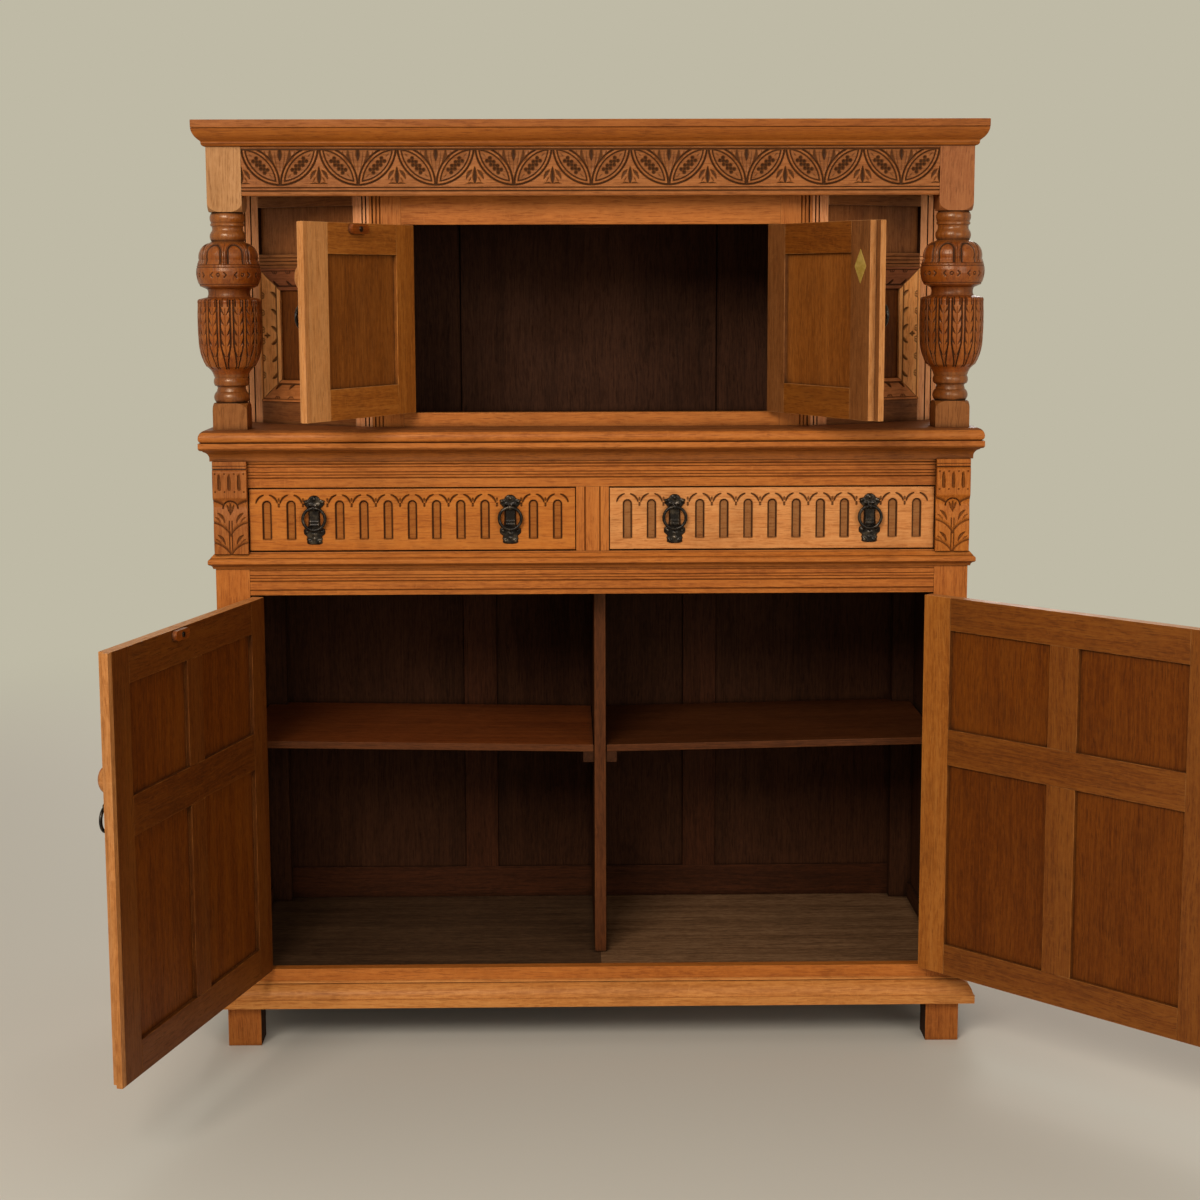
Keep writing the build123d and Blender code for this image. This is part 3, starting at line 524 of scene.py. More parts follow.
@dataclass(frozen=True)
class Metal:
    """Forged iron or cast brass."""

    name: str
    body: Shade
    worn: Shade
    metallic: float
    rough: float
    pitting: float = 0.5

    def make(self) -> Material:
        """Builds the material.

        Returns:
            The material.
        """
        material, w, shader = new_material(self.name)
        place = w.add("ShaderNodeTexCoord").outputs["Object"]
        blotch = w.noise(place, 90.0, 4.0, 0.6)
        fine = w.noise(place, 620.0, 3.0, 0.6)
        # painted highlight: pointy edges and blotches take the lighter colour, for rubbing and for the
        # highlights on them
        edge = w.add("ShaderNodeNewGeometry").outputs["Pointiness"]
        rub_and_light = w.maths("MULTIPLY", w.ramp(edge, 0.51, 0.6), w.ramp(blotch, 0.35, 0.6))
        mixed = w.maths("ADD", rub_and_light, w.maths("MULTIPLY", w.ramp(blotch, 0.45, 0.75), 0.35), clamp=True)
        w.fill(
            shader,
            {
                "Base Color": w.mix(mixed, srgb(*self.body), srgb(*self.worn)),
                "Metallic": self.metallic,
                "Roughness": w.maths("ADD", w.maths("MULTIPLY", fine, 0.25), self.rough - 0.12, clamp=True),
                "Normal": w.bump(fine, self.pitting, 0.0004),
            },
        )
        return material


# ---------------------------------------------------------------- meshes
def write_attributes(mesh: Mesh, grain: Array, tone: Array, cut: Array, arris: Array) -> None:
    """Writes what the finishes read from each corner of a mesh.

    Args:
        mesh: The mesh.
        grain: Grain coordinates in metres.
        tone: Tone of the board, 0 to 1.
        cut: How much staining and painted shade lies in a cut, 0 to 1.
        arris: How near the corner is to an arris that takes rubbing and a painted highlight, 0 to 1.
    """
    layer = mesh.attributes.new("grain", "FLOAT_VECTOR", "POINT")
    layer.data.foreach_set("vector", grain.astype(np.float32).ravel())
    for key, values in (("tone", tone), ("cut", cut), ("arris", arris)):
        layer = mesh.attributes.new(key, "FLOAT", "POINT")
        layer.data.foreach_set("value", values.astype(np.float32))


def smooth_faces(mesh: Mesh) -> None:
    """Shades a mesh smooth and keeps its sharp edges.

    Args:
        mesh: The mesh.
    """
    mesh.polygons.foreach_set("use_smooth", [True] * len(mesh.polygons))
    mesh.set_sharp_from_angle(angle=math.radians(SHARP_ANGLE))


def grid_quads(index: Array) -> Array:
    """Gives the four-sided faces of a grid of corners.

    Args:
        index: Number of the corner at each row and column.

    Returns:
        Corners of each face.
    """
    return np.stack([index[:-1, :-1], index[:-1, 1:], index[1:, 1:], index[1:, :-1]], -1).reshape(-1, 4)


def board_axes(normals: Array, areas: Array, points: Array, grain: Grain) -> Array:
    """Finds the axes of a board from its faces: along the grain, across its face, through it.

    Args:
        normals: Normals of its faces.
        areas: Areas of its faces.
        points: Its corners.
        grain: Which way the grain runs.

    Returns:
        Three unit rows.
    """
    first = normals[np.argmax(areas)]
    for _ in range(2):
        near = np.abs(normals @ first) > 0.995
        summed = ((normals[near] * np.sign(normals[near] @ first)[:, None]) * areas[near][:, None]).sum(0)
        first = summed / np.linalg.norm(summed)
    side = np.abs(normals @ first) < 0.2
    if side.any():
        second = normals[side][np.argmax(areas[side])]
    else:
        second = np.cross(first, UP) if abs(first[2]) < 0.9 else np.array((1.0, 0.0, 0.0))
    second = second - first * (second @ first)
    second /= np.linalg.norm(second)
    third = np.cross(first, second)
    reach = {i: np.ptp(points @ axis) for i, axis in enumerate((first, second, third))}
    axes = [first, second, third]
    if grain is Grain.UP:
        order = sorted(range(3), key=lambda i: -abs(axes[i][2]))
        rest = sorted(order[1:], key=lambda i: -reach[i])
        order = [order[0]] + rest
    else:
        order = sorted(range(3), key=lambda i: -reach[i])
    return np.array([axes[i] for i in order])


def separate_solids(mesh: Mesh) -> List[Tuple[Array, Array]]:
    """Splits a mesh into its closed solids, also where two of them touch along an edge.

    Args:
        mesh: Triangulated mesh of one node.

    Returns:
        Corners and triangles of each solid.
    """
    mesh.calc_loop_triangles()
    points = np.zeros(len(mesh.vertices) * 3, np.float32)
    mesh.vertices.foreach_get("co", points)
    points = points.reshape(-1, 3).astype(float)
    triangles = np.zeros(len(mesh.loop_triangles) * 3, np.int32)
    mesh.loop_triangles.foreach_get("vertices", triangles)
    places, same = np.unique(np.round(points, 5), axis=0, return_inverse=True)
    triangles = same.reshape(-1)[triangles].reshape(-1, 3)
    triangles = triangles[(triangles != np.roll(triangles, 1, axis=1)).all(axis=1)]
    solids, start, loose = [], 0, set()
    for number, triangle in enumerate(triangles.tolist(), 1):
        for one, two in zip(triangle, triangle[1:] + triangle[:1]):
            loose ^= {(min(one, two), max(one, two))}
        if not loose or number == len(triangles):
            own, local = np.unique(triangles[start:number], return_inverse=True)
            solids.append((places[own], local.reshape(-1, 3)))
            start = number
    return solids


@dataclass
class Pile:
    """Corners, faces and written values gathered from several solids before one mesh is made."""

    corners: List[Array] = field(default_factory=list)
    loops: List[Array] = field(default_factory=list)
    sizes: List[Array] = field(default_factory=list)
    finishes: List[str] = field(default_factory=list)
    grain: List[Array] = field(default_factory=list)
    tone: List[Array] = field(default_factory=list)
    cut: List[Array] = field(default_factory=list)
    arris: List[Array] = field(default_factory=list)
    count: int = 0

    def lay(
        self,
        corners: Array,
        faces: Iterable[Sequence[int]],
        finishes: Sequence[str],
        grain: Array,
        tone: float,
        cut: Optional[Array] = None,
        arris: Optional[Array] = None,
    ) -> None:
        """Adds one solid.

        Args:
            corners: Its corners in metres.
            faces: Its faces.
            finishes: Name of the finish of each face, or one name for all.
            grain: Grain coordinates of its corners in metres.
            tone: Tone of its board.
            cut: Staining and painted shade in its cuts.
            arris: Rubbing and painted highlight on its arrises.
        """
        number = len(corners)
        sizes = np.array([len(face) for face in faces])
        self.corners.append(corners)
        self.loops.append(np.concatenate([np.asarray(face, np.int64) for face in faces]) + self.count)
        self.sizes.append(sizes)
        self.finishes.extend(finishes if len(finishes) == len(sizes) else list(finishes) * len(sizes))
        self.grain.append(grain)
        self.tone.append(np.full(number, tone))
        self.cut.append(np.zeros(number) if cut is None else cut)
        self.arris.append(np.zeros(number) if arris is None else arris)
        self.count += number

    def build(self, name: str, materials: Dict[str, Material]) -> Object:
        """Makes one object of all the solids.

        Args:
            name: Name of the object.
            materials: Materials by the name of their finish.

        Returns:
            The object, linked to the scene.
        """
        mesh = bpy.data.meshes.new(name)
        corners = np.concatenate(self.corners)
        mesh.vertices.add(len(corners))
        mesh.vertices.foreach_set("co", corners.astype(np.float32).ravel())
        sizes = np.concatenate(self.sizes)
        loops = np.concatenate(self.loops)
        mesh.loops.add(len(loops))
        mesh.loops.foreach_set("vertex_index", loops.astype(np.int32))
        mesh.polygons.add(len(sizes))
        mesh.polygons.foreach_set("loop_start", np.concatenate([[0], np.cumsum(sizes)[:-1]]).astype(np.int32))
        names = sorted(set(self.finishes))
        index = {finish: number for number, finish in enumerate(names)}
        mesh.update(calc_edges=True)
        mesh.polygons.foreach_set("material_index", np.array([index[f] for f in self.finishes], np.int32))
        written = (self.grain, self.tone, self.cut, self.arris)
        write_attributes(mesh, *(np.concatenate(values) for values in written))
        smooth_faces(mesh)
        for finish in names:
            mesh.materials.append(materials[finish])
        obj = bpy.data.objects.new(name, mesh)
        bpy.context.scene.collection.objects.link(obj)
        return obj


# ---------------------------------------------------------------- carving
Strokes = Sequence[Tuple[float, ...]]


@dataclass
class Carving:
    """A face under the gouge: places across and up it, how deep it is cut, and the staining and painted shade
    in the cuts.
    """

    across: Array
    up: Array
    deep: Array = field(init=False)
    stain: Array = field(init=False)

    def __post_init__(self) -> None:
        """Starts with an uncut face."""
        self.deep = np.zeros((len(self.up), len(self.across)))
        self.stain = np.zeros_like(self.deep)

    def window(self, low: Pair, high: Pair) -> Tuple[Part, Array, Array]:
        """Cuts out the part of the grid between two corners.

        Args:
            low: Lowest place across and up.
            high: Highest place across and up.

        Returns:
            Slices of the grid, and the places across and up in it.
        """
        columns = slice(*np.searchsorted(self.across, [low[0], high[0]]))
        rows = slice(*np.searchsorted(self.up, [low[1], high[1]]))
        x, y = np.meshgrid(self.across[columns], self.up[rows])
        return (rows, columns), x, y

    def sink(self, where: Part, amount: Array, stain: Array) -> None:
        """Cuts at least as deep as asked for, and darkens the cut with staining and painted shade.

        Args:
            where: Slices of the grid.
            amount: Depth in millimetres.
            stain: Staining and painted shade, 0 to 1.
        """
        self.deep[where] = np.maximum(self.deep[where], amount)
        self.stain[where] = np.maximum(self.stain[where], stain)

    def groove(self, where: Part, distance: Array, width: float, deep: float, stain: float = 0.8) -> None:
        """Cuts a round-bottomed line.

        Args:
            where: Slices of the grid.
            distance: Distance from the line, in millimetres.
            width: Width of the cut.
            deep: Its depth.
            stain: Its staining and painted shade.
        """
        near = np.clip(1.0 - (distance / (width / 2)) ** 2, 0, 1)
        self.sink(where, deep * near, stain * near**0.7)

    def gouge(
        self,
        start: Pair,
        end: Pair,
        width: float,
        deep: float,
        stain: float = 0.9,
        blunt: float = 0.5,
        bow: float = 0.0,
    ) -> None:
        """Cuts one stroke of a gouge, pointed or blunt at its ends.

        Args:
            start: Place across and up where it starts.
            end: Place where it ends.
            width: Its greatest width.
            deep: Its depth.
            stain: Its staining and painted shade.
            blunt: Width at its start as a share of the greatest.
            bow: How far its middle bends to the left of its way.
        """
        (x0, y0), (x1, y1) = start, end
        reach = width + abs(bow)
        low = (min(x0, x1) - reach, min(y0, y1) - reach)
        where, x, y = self.window(low, (max(x0, x1) + reach, max(y0, y1) + reach))
        length = math.hypot(x1 - x0, y1 - y0)
        ax, ay = (x1 - x0) / length, (y1 - y0) / length
        run = (x - x0) * ax + (y - y0) * ay
        along = np.clip(run / length, 0, 1)
        off = (x - x0) * -ay + (y - y0) * ax - bow * 4 * along * (1 - along)
        back = np.maximum(run - length, 0) + np.maximum(-run, 0)
        widest = 0.42
        swelling = blunt + (1 - blunt) * np.sin(np.pi / 2 * along / widest)
        tapering = np.clip((1 - along) / (1 - widest), 0.02, 1.0) ** 0.6
        half = width / 2 * np.where(along > widest, tapering, swelling)
        distance = np.hypot(off, back)
        near = np.clip(1.0 - (distance / np.maximum(half, 0.15)) ** 2, 0, 1)
        self.sink(where, deep * near * (half / (width / 2)) ** 0.6, stain * near**0.6)

    def pairs(self, x0: float, y0: float, strokes: Strokes) -> None:
        """Cuts strokes on both sides of a middle line.

        Args:
            x0: Place of the line across.
            y0: Place up that the strokes are counted from.
            strokes: Start, end, width, depth, staining and painted shade, bluntness and bow of each.
        """
        for side in (-1, 1):
            for out, rise, out_end, rise_end, width, deep, stain, blunt, bow in strokes:
                start, end = (x0 + side * out, y0 + rise), (x0 + side * out_end, y0 + rise_end)
                self.gouge(start, end, width, deep, stain, blunt, side * bow)

    def pit(self, x0: float, y0: float, radius: float, deep: float, stain: float = 1.0) -> None:
        """Punches one round pit.

        Args:
            x0: Place across.
            y0: Place up.
            radius: Its radius.
            deep: Its depth.
            stain: Its staining and painted shade.
        """
        where, x, y = self.window((x0 - radius, y0 - radius), (x0 + radius, y0 + radius))
        near = np.clip(1.0 - ((x - x0) ** 2 + (y - y0) ** 2) / radius**2, 0, 1)
        self.sink(where, deep * near, stain * near**0.5)

    def arc(self, centre: Pair, radius: float, turn: Pair, width: float, deep: float) -> None:
        """Cuts a crescent along an arc, widest at its middle.

        Args:
            centre: Centre of the arc.
            radius: Its radius.
            turn: Its first and last angle in degrees, counted from the way across.
            width: Its greatest width.
            deep: Its depth.
        """
        (cx, cy), reach = centre, radius + width
        where, x, y = self.window((cx - reach, cy - reach), (cx + reach, cy + reach))
        dx, dy = x - cx, y - cy
        angle = (np.degrees(np.arctan2(dy, dx)) - turn[0]) % 360.0
        share = angle / (turn[1] - turn[0])
        inside = (share > 0) & (share < 1)
        half = width / 2 * np.clip(4 * share * (1 - share), 0, 1) ** 0.45
        near = np.clip(1.0 - ((np.hypot(dx, dy) - radius) / np.maximum(half, 0.1)) ** 2, 0, 1)
        near = np.where(inside, near, 0.0)
        self.sink(where, deep * near, near**0.6)

    def ease_rim(self, radius: float) -> None:
        """Rounds the rim of the face.

        Args:
            radius: Radius of the rounding.
        """
        x = np.minimum(self.across - self.across[0], self.across[-1] - self.across)
        y = np.minimum(self.up - self.up[0], self.up[-1] - self.up)
        edge = np.minimum(x[None, :], y[:, None])
        inner = np.clip(radius - edge, 0.0, radius)
        self.deep += radius - np.sqrt(np.maximum(radius**2 - inner**2, 0.0))


@dataclass
class CarvedPlate:
    """A solid whose front is a carved face: a grid of places with a plain back."""

    carving: Carving
    place: Callable[[Array, Array, Array], Array]
    thick: float

    def lay(
        self,
        pile: Pile,
        finish: str,
        tone: float,
        start: Array,
        along_up: bool = False,
        swell: Optional[Array] = None,
    ) -> None:
        """Adds the plate to a pile.

        Args:
            pile: Pile that takes it.
            finish: Name of its finish.
            tone: Tone of its board.
            start: Where its board lies in the log.
            along_up: Whether the grain runs up the plate.
            swell: How far its face stands out before it is cut.
        """
        cut = self.carving
        rows, columns = cut.deep.shape
        x, y = np.meshgrid(cut.across, cut.up)
        out = -cut.deep if swell is None else swell - cut.deep
        front = self.place(x.ravel(), y.ravel(), out.ravel())
        back_x = np.concatenate([cut.across, cut.across])
        back_y = np.concatenate([np.full(columns, cut.up[0]), np.full(columns, cut.up[-1])])
        rear = np.full(2 * columns, -self.thick)
        back = self.place(back_x, back_y, rear)
        corners = np.concatenate([front, back]) * MM
        index = np.arange(rows * columns).reshape(rows, columns)
        face = grid_quads(index)
        low = rows * columns + np.arange(columns)
        high = low + columns
        under = np.stack([index[0, 1:], index[0, :-1], low[:-1], low[1:]], -1)
        over = np.stack([index[-1, :-1], index[-1, 1:], high[1:], high[:-1]], -1)
        behind = np.stack([low[:-1], high[:-1], high[1:], low[1:]], -1)
        left = np.concatenate([index[:, 0], [high[0], low[0]]])
        right = np.concatenate([index[::-1, -1], [low[-1], high[-1]]])
        faces = [*np.concatenate([face, under, over, behind]).tolist(), left.tolist(), right.tolist()]
        grid = np.stack([x.ravel(), y.ravel(), out.ravel()], -1)
        flat = np.concatenate([grid, np.stack([back_x, back_y, rear], -1)])
        grain = flat[:, [1, 0, 2] if along_up else [0, 1, 2]] * MM + start
        stain = np.concatenate([cut.stain.ravel(), np.zeros(2 * columns)])
        pile.lay(corners, faces, [finish], grain, tone, stain)


def facing_front(face_y: float) -> Callable[[Array, Array, Array], Array]:
    """Gives the places of a face that looks to the front.

    Args:
        face_y: Y of the uncut face, in millimetres.

    Returns:
        Function from places across, up and out to points.
    """
    return lambda x, y, out: np.stack([x, face_y - out, y], -1)


Choice = Optional[str]
Chooser = Callable[[Vector, Vector], Choice]


@dataclass(frozen=True)
class Groove:
    """A straight groove along one face of a member, all in millimetres."""

    facing: Triple
    level: float
    across: Triple
    at: float
    width: float = 1.8
    deep: float = 1.2
    behind: float = 0.0

    def cut(self, body: bmesh.types.BMesh, stained_and_shaded: bmesh.types.BMLayerItem) -> None:
        """Cuts the groove if it crosses the solid.

        Args:
            body: The solid.
            stained_and_shaded: Layer that takes the staining and painted shade in the groove.
        """
        facing, across = Vector(self.facing), Vector(self.across)
        heights = [v.co.dot(facing) / MM for v in body.verts]
        places = [v.co.dot(across) / MM for v in body.verts]
        crossed = min(places) + self.width < self.at < max(places) - self.width
        if abs(max(heights) - self.level) > 0.4 or not crossed:
            return
        for step in (-0.5, 0.0, 0.5):
            point = across * (self.at + step * self.width) * MM
            parts = body.verts[:] + body.edges[:] + body.faces[:]
            bmesh.ops.bisect_plane(body, geom=parts, dist=1e-7, plane_co=point, plane_no=across)
        line = [v for v in body.verts if abs(v.co.dot(across) / MM - self.at) < 0.01]
        nearest = max((v.co.dot(facing) / MM for v in line), default=-1e9)
        if nearest < self.level - self.behind - 0.6:
            return
        # painted shade: the groove's floor is darkened, for staining and for the shade in it
        for vert in line:
            if vert.co.dot(facing) / MM > nearest - 0.6:
                vert.co -= facing * self.deep * MM
                vert[stained_and_shaded] = 1.0


def reeds(
    facing: Triple, level: float, across: Triple, places: Sequence[float], width: float, deep: float
) -> List[Groove]:
    """Gives a row of like grooves.

    Args:
        facing: Way that the face looks.
        level: Place of the face along it.
        across: Way across the grooves.
        places: Place of each groove along that.
        width: Width of each.
        deep: Depth of each.

    Returns:
        The grooves.
    """
    return [Groove(facing, level, across, at, width, deep) for at in places]


def round_case(
    front: float, side: float, height: float, width: float, deep: float, behind: float
) -> List[Groove]:
    """Gives one groove that runs along a moulding round the front and both sides.

    Args:
        front: How far before the middle the moulding reaches.
        side: How far beside the middle it reaches.
        height: Height of the groove.
        width: Width of it.
        deep: Depth of it.
        behind: How far its face may lie behind the moulding's reach.

    Returns:
        The grooves.
    """
    ways = ((FRONT, front), ((-1.0, 0.0, 0.0), side), (RIGHT, side))
    return [Groove(way, level, UP, height, width, deep, behind) for way, level in ways]


@dataclass
class Joiner:
    """Dresses members that keep the frame's shape."""

    materials: Dict[str, Material]
    seed: int = 11

    def ease(
        self,
        pile: Pile,
        solid: Tuple[Array, Array],
        finish: str,
        grain: Grain,
        ease: float,
        rng: np.random.Generator,
        faces: Optional[Chooser],
        grooves: Sequence["Groove"],
    ) -> None:
        """Eases the arrises of one solid and adds it to a pile.

        Args:
            pile: Pile that takes the solid.
            solid: Its corners and triangles.
            finish: Name of its finish.
            grain: Which way its grain runs.
            ease: Width of the eased arris in millimetres.
            rng: Source of its place in the log and its tone.
            faces: Gives another finish for a face from its normal and centre, or None.
            grooves: Grooves worked in its faces.
        """
        body = bmesh.new()
        verts = [body.verts.new(p) for p in solid[0]]
        for triangle in solid[1]:
            body.faces.new([verts[i] for i in triangle])
        bmesh.ops.delete(body, geom=[v for v in verts if not v.link_faces], context="VERTS")
        body.normal_update()
        bmesh.ops.dissolve_limit(body, angle_limit=math.radians(0.6), verts=body.verts, edges=body.edges)
        edges = [
            e for e in body.edges if len(e.link_faces) == 2 and e.calc_face_angle(0.0) > math.radians(28)
        ]
        rounded = set()
        if ease > 0:
            made = bmesh.ops.bevel(
                body,
                geom=edges,
                offset=ease * MM,
                offset_type="OFFSET",
                segments=2,
                profile=0.55,
                clamp_overlap=True,
                affect="EDGES",
                material=-1,
            )
            rounded = set(made["faces"])
        stained_and_shaded = body.verts.layers.float.new("stain")
        for groove in grooves:
            groove.cut(body, stained_and_shaded)
        body.normal_update()
        body.verts.index_update()
        body.faces.ensure_lookup_table()
        points = np.array([v.co for v in body.verts])
        normals = np.array([f.normal for f in body.faces])
        areas = np.array([f.calc_area() for f in body.faces])
        axes = board_axes(normals, areas, points, grain)
        place = points @ axes.T
        place -= (place.max(0) + place.min(0)) / 2
        eased = [bool(v.link_faces) and all(f in rounded for f in v.link_faces) for v in body.verts]
        stain = np.array([v[stained_and_shaded] for v in body.verts])
        chosen = [finish] * len(body.faces)
        if faces is not None:
            chosen = [faces(f.normal, f.calc_center_median() / MM) or finish for f in body.faces]
        place += rng.uniform(2, 40, 3)
        outlines = [[v.index for v in f.verts] for f in body.faces]
        pile.lay(points, outlines, chosen, place, rng.uniform(0.25, 0.75), stain, np.array(eased, float))
        body.free()

    def dress(
        self,
        node: str,
        finish: str = "golden_oak",
        slot: Slot = Slot.OAK,
        grain: Grain = Grain.LONG,
        ease: float = 0.9,
        faces: Optional[Chooser] = None,
        keep: Optional[Callable[[Array], bool]] = None,
        extra: Optional[Callable[[Pile], None]] = None,
        trim: Optional[Callable[[Array], Array]] = None,
        grooves: Sequence["Groove"] = (),
    ) -> Object:
        """Copies a node with eased arrises, grain and finish, and lets the copy stand for it.

        Args:
            node: Name of the node.
            finish: Name of its finish.
            slot: Material slot of the record; not used.
            grain: Which way the grain runs.
            ease: Width of the eased arris in millimetres.
            faces: Gives another finish for a face from its normal and centre, or None.
            keep: Tells from its middle, in millimetres, whether a solid is kept.
            extra: Adds worked solids that stand in the place of those left out.
            trim: Tells from their middles, in millimetres, which triangles are kept.
            grooves: Grooves worked in its faces.

        Returns:
            The new object.
        """
        source = bpy.data.objects[node]
        rng = np.random.default_rng(hash_name(node) + self.seed)
        pile = Pile()
        for solid in separate_solids(source.data):
            middle = (solid[0].max(0) + solid[0].min(0)) / 2 / MM
            if trim is not None:
                solid = (solid[0], solid[1][trim(solid[0][solid[1]].mean(1) / MM)])
            if keep is None or keep(middle):
                self.ease(pile, solid, finish, grain, ease, rng, faces, grooves)
        if extra is not None:
            extra(pile)
        obj = pile.build(node + "_dressed", self.materials)
        if ease > 0:
            modifier = obj.modifiers.new("Flat faces", "WEIGHTED_NORMAL")
            modifier.keep_sharp = True
        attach(obj, source["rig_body"])
        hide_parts(node)
        log.info("%s dressed as %s: %d corners", node, finish, pile.count)
        return obj


def hash_name(name: str) -> int:
    """Gives a number from a name that is the same on each run.

    Args:
        name: Any name.

    Returns:
        The number.
    """
    value = 17
    for letter in name:
        value = (value * 31 + ord(letter)) % 1000003
    return value


# ---------------------------------------------------------------- studio
@dataclass
class Studio:
    """Floor, light and camera."""

    floor_size: float = 30.0
    floor_colour: Triple = srgb(208, 201, 186)
    wall_colour: Triple = srgb(191, 186, 166)
    fill: float = 0.32
    middle: Triple = (0.0, 0.0, 0.9)
    lens: float = 65.94
    camera_place: Triple = (-0.049, -4.117, 1.377)
    pitch: float = 81.76
    yaw: float = -0.917
    roll: float = -0.16

    def floor(self) -> None:
        """Lays a plain pale floor."""
        mesh = bpy.data.meshes.new("studio_floor")
        half = self.floor_size / 2
        corners = [(-half, -half, 0), (half, -half, 0), (half, half, 0), (-half, half, 0)]
        mesh.from_pydata(corners, [], [(0, 1, 2, 3)])
        obj = bpy.data.objects.new("studio_floor", mesh)
        bpy.context.scene.collection.objects.link(obj)
        material, w, shader = new_material("Studio floor")
        w.fill(shader, {"Base Color": self.floor_colour, "Roughness": 0.7})
        glow = w.fill(w.add("ShaderNodeEmission"), {"Color": self.wall_colour})
        place = w.add("ShaderNodeTexCoord").outputs["Object"]
        away = w.fill(w.add("ShaderNodeVectorMath", operation="LENGTH"), {0: place}).outputs["Value"]
        seen = w.maths("MULTIPLY", w.ramp(away, 2.2, 4.6), w.sight())
        mixer = w.fill(w.add("ShaderNodeMixShader"), {0: seen, 1: shader.outputs[0], 2: glow.outputs[0]})
        w.feed(material.node_tree.nodes["Material Output"].inputs[0], mixer.outputs[0])
        mesh.materials.append(material)
        obj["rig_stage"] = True

    def world(self) -> None:
        """Fills with even light, and shows a pale background."""
        world = bpy.data.worlds.new("Studio")
        world.use_nodes = True
        bpy.context.scene.world = world
        w = Weaver(world.node_tree)
        light = world.node_tree.nodes["Background"]
        w.fill(light, {"Color": (1.0, 0.98, 0.95), "Strength": self.fill})
        seen = w.fill(w.add("ShaderNodeBackground"), {"Color": self.wall_colour, "Strength": 1.0})
        mixer = w.fill(w.add("ShaderNodeMixShader"), {0: w.sight(), 1: light.outputs[0], 2: seen.outputs[0]})
        w.feed(world.node_tree.nodes["World Output"].inputs[0], mixer.outputs[0])

    def lamp(self, name: str, place: Vector, size: Pair, power: float, colour: Triple) -> None:
        """Hangs one soft lamp that points at the middle of the piece.

        Args:
            name: Name of the lamp.
            place: Where it hangs.
            size: Its width and height in metres.
            power: Its power in watts.
            colour: Its colour.
        """
        data = bpy.data.lights.new(name, "AREA")
        data.shape = "RECTANGLE"
        data.size, data.size_y = size
        data.energy = power
        data.color = colour
        obj = bpy.data.objects.new(name, data)
        obj.location = place
        obj.rotation_euler = (Vector(self.middle) - place).to_track_quat("-Z", "Y").to_euler()
        bpy.context.scene.collection.objects.link(obj)

    def lamps(self) -> None:
        """Hangs the key light high at the front left, a fill at the right and one behind."""
        self.lamp("key", Vector((-1.5, -4.4, 3.1)), (2.2, 1.6), 150.0, (1.0, 0.965, 0.91))
        self.lamp("fill", Vector((2.5, -4.4, 1.9)), (2.4, 2.0), 52.0, (1.0, 0.97, 0.93))
        self.lamp("rear", Vector((0.5, 4.4, 2.8)), (3.0, 2.0), 90.0, (1.0, 0.98, 0.96))

    def camera(self) -> None:
        """Stands the camera in front, a little left of the middle, looking down."""
        data = bpy.data.cameras.new("camera")
        data.sensor_width = 36.0
        data.sensor_fit = "HORIZONTAL"
        data.lens = self.lens
        data.clip_end = 60.0
        obj = bpy.data.objects.new("camera", data)
        turn = Matrix.Identity(4)
        for angle, axis in ((self.yaw, "Z"), (self.pitch, "X"), (self.roll, "Z")):
            turn = turn @ Matrix.Rotation(math.radians(angle), 4, axis)
        obj.matrix_world = Matrix.Translation(self.camera_place) @ turn
        bpy.context.scene.collection.objects.link(obj)
        bpy.context.scene.camera = obj

    def build(self) -> None:
        """Sets up the whole studio."""
        bpy.context.scene.view_settings.view_transform = "Standard"
        self.floor()
        self.world()
        self.lamps()
        self.camera()


